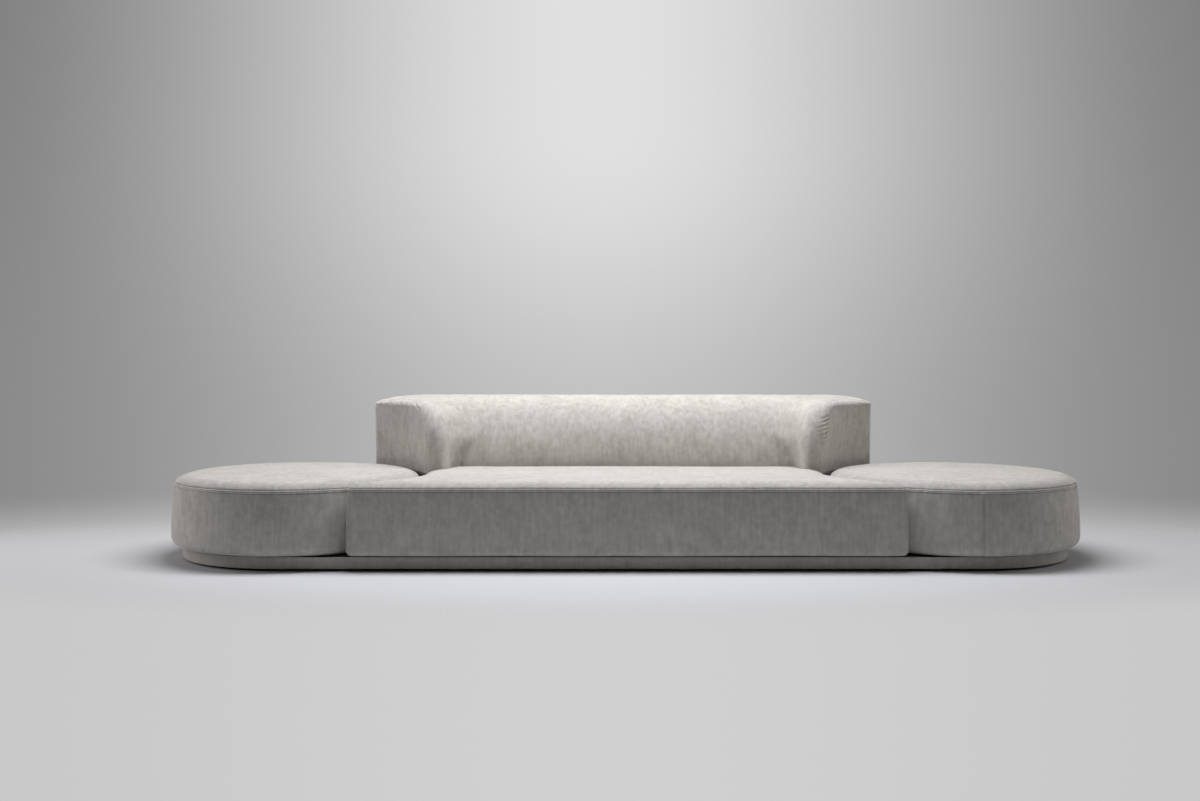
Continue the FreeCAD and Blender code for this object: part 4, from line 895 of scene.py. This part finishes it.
def gathers(points, away, seam):
    """Short ridges where the front is gathered into the seam of the right-hand end panel."""
    height, period, slant, farthest = 0.0034, 0.021, 0.25, 0.12
    mean_length, least_length = 0.042, 0.020
    upright = seam[:UPRIGHT_STEPS]
    in_front = points[:, 1] < np.interp(points[:, 2], upright[:, 2], upright[:, 1])
    share = np.clip((points[:, 2] - GATHERS_START) / GATHERS_SPAN, 0, 1)
    window = np.sin(np.pi * share) ** 0.5 * (share > 0) * (share < 1)
    uneven = waves(points, height=1.4, size=0.03, seed=33)
    ridges = np.sin((points[:, 2] + slant * away) * 2 * math.pi / period + uneven)
    upwards = np.stack([points[:, 2], points[:, 2] * 0, points[:, 2] * 0], 1)
    length = mean_length + waves(upwards, height=0.022, size=0.017, seed=34)
    fade = bulge(away, np.maximum(length, least_length))
    gathered = (points[:, 0] > 0) & in_front & (away < farthest)
    return np.where(gathered, height * ridges * window * fade, 0.0)


# Plinth band

BAND_TURNS = 160
BAND_STRAIGHT = 150
BAND_BULGE_ROWS = 14
BAND_THICKNESS = 0.0020
BAND_EDGE = 0.0009
BAND_BULGE = 0.0006
BAND_TUCK = 0.0018
BAND_TUCK_WIDTH = 0.004
BAND_TUCK_REACH = 0.02


def band_section():
    """Out from the plinth and up: a thin strip with blunt edges that bulges a little."""
    top, bottom = PLINTH_TOP, PLINTH_BOTTOM
    outer = [(BAND_BULGE * math.sin(math.pi * share), bottom + (top - bottom) * share)
             for share in np.linspace(0.06, 0.94, BAND_BULGE_ROWS)]
    return np.array([(-BAND_THICKNESS, bottom), (-BAND_EDGE, bottom), (0.0, bottom + BAND_EDGE), *outer,
                     (0.0, top - BAND_EDGE), (-BAND_EDGE, top), (-BAND_THICKNESS, top)])


def make_plinth_band(side, word):
    """Half of the fabric band round the plinth. Its ends turn in a little where the two halves meet."""
    turn = np.linspace(-math.pi / 2, math.pi / 2, BAND_TURNS)
    reach = SWIVEL_OFFSET * np.linspace(0, 1, BAND_STRAIGHT, endpoint=False)
    centre_x = np.concatenate([reach, np.full(BAND_TURNS, SWIVEL_OFFSET), reach[::-1]])
    out = np.concatenate([np.tile([0.0, -1.0], (BAND_STRAIGHT, 1)),
                          np.column_stack([np.cos(turn), np.sin(turn)]),
                          np.tile([0.0, 1.0], (BAND_STRAIGHT, 1))])
    section = band_section()
    count = len(section)
    outer = section[:, 0] > -0.0015
    tucked = BAND_TUCK * bulge(centre_x, BAND_TUCK_WIDTH) * (np.abs(centre_x) < BAND_TUCK_REACH)
    rows = []
    for x, outward, tuck in zip(centre_x, out, tucked):
        offset = PLINTH_RADIUS + section[:, 0] - tuck * outer
        rows.append(np.column_stack([x + outward[0] * offset, outward[1] * offset, section[:, 1]]))
    points = np.concatenate(rows)
    faces = [face[::-1] for face in grid_faces(len(rows), count)]
    faces += [list(range(count))[::-1], [(len(rows) - 1) * count + i for i in range(count)]]
    # Ripples all over, and puckers under the top edge
    ripple = waves(points, height=0.0005, size=0.05, seed=41 + side)
    flattened = points * np.array([1, 1, 0.3])
    pucker = waves(flattened, height=0.0009, size=0.022, seed=43 + side)
    ripple += pucker * np.exp(-np.abs(points[:, 2] - PLINTH_TOP) / 0.012)
    radius = np.hypot(points[:, 1], np.maximum(points[:, 0] - SWIVEL_OFFSET, 0))
    away = points - np.repeat(np.column_stack([centre_x, np.zeros((len(rows), 2))]), count, 0)
    away[:, 2] = 0
    away /= np.linalg.norm(away, axis=1)[:, None]
    points = points + away * (ripple * (radius > PLINTH_RADIUS - 0.0012))[:, None]
    points[:, 0] *= side
    if side < 0:
        faces = [face[::-1] for face in faces]
    make_piece("plinth_band_%s" % word, points, faces, plinth_cloth, "base", "plinth_fabric",
               "plinth_cover_%s" % word)


# Pieces

# Where each round seat's upright seam stands: out of sight on the left, and in front on the right
LEFT_SEAM_ANGLE = math.radians(75)
RIGHT_SEAM_ANGLE = math.radians(-91.1)

make_seat()
make_back()
make_pouf(-1, "left", LEFT_SEAM_ANGLE)
make_pouf(1, "right", RIGHT_SEAM_ANGLE)
for hand, hand_word in SIDES:
    make_plinth_band(hand, hand_word)

record_slots = {part["node"]: part["material_slot"] for part in frame["record"]["subparts"]}
for node_name, node in frame["nodes"].items():
    material = MATERIALS.get(record_slots.get(node_name), pale_wood)
    # Plywood of the plinth and seat gets the near-black wood, as painted shadow in the slits
    if node_name.startswith(("plinth", "seat")) and material is pale_wood:
        material = painted_shadow_wood
    for material_slot in node.material_slots:
        material_slot.material = material


# Floor, light and camera

FLOOR_REACH = 12.0
# Seen by the camera the floor ends softly between these distances, which are longer along X
FLOOR_FADE_START = 1.05
FLOOR_FADE_END = 1.75
FLOOR_STRETCH = 2.4


def make_floor():
    mesh = bpy.data.meshes.new("studio_floor")
    corners = [(-FLOOR_REACH, -FLOOR_REACH, 0), (FLOOR_REACH, -FLOOR_REACH, 0),
               (FLOOR_REACH, FLOOR_REACH, 0), (-FLOOR_REACH, FLOOR_REACH, 0)]
    mesh.from_pydata(corners, [], [(0, 1, 2, 3)])
    floor = bpy.data.objects.new("studio_floor", mesh)
    scene.collection.objects.link(floor)
    material, tree, shader = node_material("studio_floor")
    set_inputs(shader, {"Roughness": 0.75, "Base Color": (0.58, 0.585, 0.61, 1)})
    place = add(tree, "ShaderNodeTexCoord")
    squeezed = add(tree, "ShaderNodeMapping")
    set_inputs(squeezed, {"Scale": (1 / FLOOR_STRETCH, 1.0, 1.0)})
    far = add(tree, "ShaderNodeVectorMath", operation="LENGTH")
    fade = add(tree, "ShaderNodeMapRange", interpolation_type="SMOOTHSTEP")
    set_inputs(fade, {"From Min": FLOOR_FADE_START, "From Max": FLOOR_FADE_END})
    seen = add(tree, "ShaderNodeLightPath")
    both = add(tree, "ShaderNodeMath", operation="MULTIPLY")
    mix = add(tree, "ShaderNodeMixShader")
    clear = add(tree, "ShaderNodeBsdfTransparent")
    tree.links.new(place.outputs["Object"], squeezed.inputs["Vector"])
    tree.links.new(squeezed.outputs["Vector"], far.inputs[0])
    tree.links.new(far.outputs["Value"], fade.inputs["Value"])
    tree.links.new(fade.outputs["Result"], both.inputs[0])
    tree.links.new(seen.outputs["Is Camera Ray"], both.inputs[1])
    tree.links.new(both.outputs["Value"], mix.inputs["Fac"])
    tree.links.new(shader.outputs["BSDF"], mix.inputs[1])
    tree.links.new(clear.outputs["BSDF"], mix.inputs[2])
    tree.links.new(mix.outputs["Shader"], tree.nodes["Material Output"].inputs["Surface"])
    floor.data.materials.append(material)


def math_node(tree, operation, *values):
    """A Math node over outputs of other nodes."""
    node = add(tree, "ShaderNodeMath", operation=operation)
    for socket, value in zip(node.inputs, values):
        tree.links.new(value, socket)
    return node.outputs["Value"]


def between(tree, value, low, high, to_low, to_high):
    """A soft step from one shade to another. Each shade is a number or another node's output."""
    node = add(tree, "ShaderNodeMapRange", interpolation_type="SMOOTHSTEP")
    set_inputs(node, {"From Min": low, "From Max": high})
    for name, shade in (("To Min", to_low), ("To Max", to_high)):
        if isinstance(shade, float):
            set_inputs(node, {name: shade})
        else:
            tree.links.new(shade, node.inputs[name])
    tree.links.new(value, node.inputs["Value"])
    return node.outputs["Result"]


def make_world():
    """The studio as the camera sees it: a wall lit in the middle, over a pale floor. It lights evenly."""
    world = bpy.data.worlds.new("studio")
    scene.world = world
    world.use_nodes = True
    tree = world.node_tree
    light = tree.nodes["Background"]
    set_inputs(light, {"Color": (1.0, 0.96, 0.91, 1), "Strength": 0.06})
    view = add(tree, "ShaderNodeTexCoord")
    axes = add(tree, "ShaderNodeSeparateXYZ")
    tree.links.new(view.outputs["Generated"], axes.inputs["Vector"])
    x, y, up = axes.outputs["X"], axes.outputs["Y"], axes.outputs["Z"]
    squares = math_node(tree, "ADD", math_node(tree, "MULTIPLY", x, x), math_node(tree, "MULTIPLY", y, y))
    flat = math_node(tree, "SQRT", squares)
    aside = math_node(tree, "ABSOLUTE", math_node(tree, "DIVIDE", x, flat))
    centre = between(tree, up, -0.07, 0.17, 0.53, 0.745)
    edge = between(tree, up, -0.07, 0.30, 0.25, 0.205)
    wall = between(tree, aside, 0.0, 0.47, centre, edge)
    ground = between(tree, aside, 0.0, 0.55, 0.63, 0.575)
    shade = between(tree, up, -0.150, -0.100, ground, wall)
    colour = add(tree, "ShaderNodeCombineColor")
    for channel in ("Red", "Green", "Blue"):
        tree.links.new(shade, colour.inputs[channel])
    backdrop = add(tree, "ShaderNodeBackground")
    tree.links.new(colour.outputs["Color"], backdrop.inputs["Color"])
    seen = add(tree, "ShaderNodeLightPath")
    mix = add(tree, "ShaderNodeMixShader")
    tree.links.new(seen.outputs["Is Camera Ray"], mix.inputs["Fac"])
    tree.links.new(light.outputs["Background"], mix.inputs[1])
    tree.links.new(backdrop.outputs["Background"], mix.inputs[2])
    tree.links.new(mix.outputs["Shader"], tree.nodes["World Output"].inputs["Surface"])


def make_lamp(name, size, watts, colour, place, aim):
    lamp = bpy.data.lights.new(name, "AREA")
    lamp.shape = "RECTANGLE"
    lamp.size, lamp.size_y = size
    lamp.energy = watts
    lamp.color = colour
    holder = bpy.data.objects.new(name, lamp)
    holder.location = place
    holder.rotation_euler = (Vector(place) - Vector(aim)).to_track_quat("Z", "Y").to_euler()
    holder.visible_camera = False
    scene.collection.objects.link(holder)


def make_camera():
    data = bpy.data.cameras.new("camera")
    data.lens = 39.0
    data.sensor_width = 36.0
    data.shift_y = -0.0427
    camera = bpy.data.objects.new("camera", data)
    camera.location = (-0.123, -6.408, 1.002)
    camera.rotation_euler = (math.radians(90), 0, 0)
    scene.collection.objects.link(camera)
    scene.camera = camera


make_floor()
make_world()
make_lamp("overhead_softbox", size=(3.8, 1.1), watts=198, colour=(0.985, 0.99, 1.0),
          place=(-0.05, 0.02, 3.7), aim=(-0.05, 0.02, 0))
make_lamp("left_wall", size=(2.4, 2.0), watts=60, colour=(1.0, 0.97, 0.97),
          place=(-5.2, 0.3, 1.3), aim=(-1.6, 0.1, 0.3))
make_lamp("right_wall", size=(2.4, 2.0), watts=36, colour=(1.0, 0.97, 0.94),
          place=(5.2, 0.3, 1.3), aim=(1.6, 0.1, 0.3))
make_camera()
scene.view_settings.view_transform = "Standard"
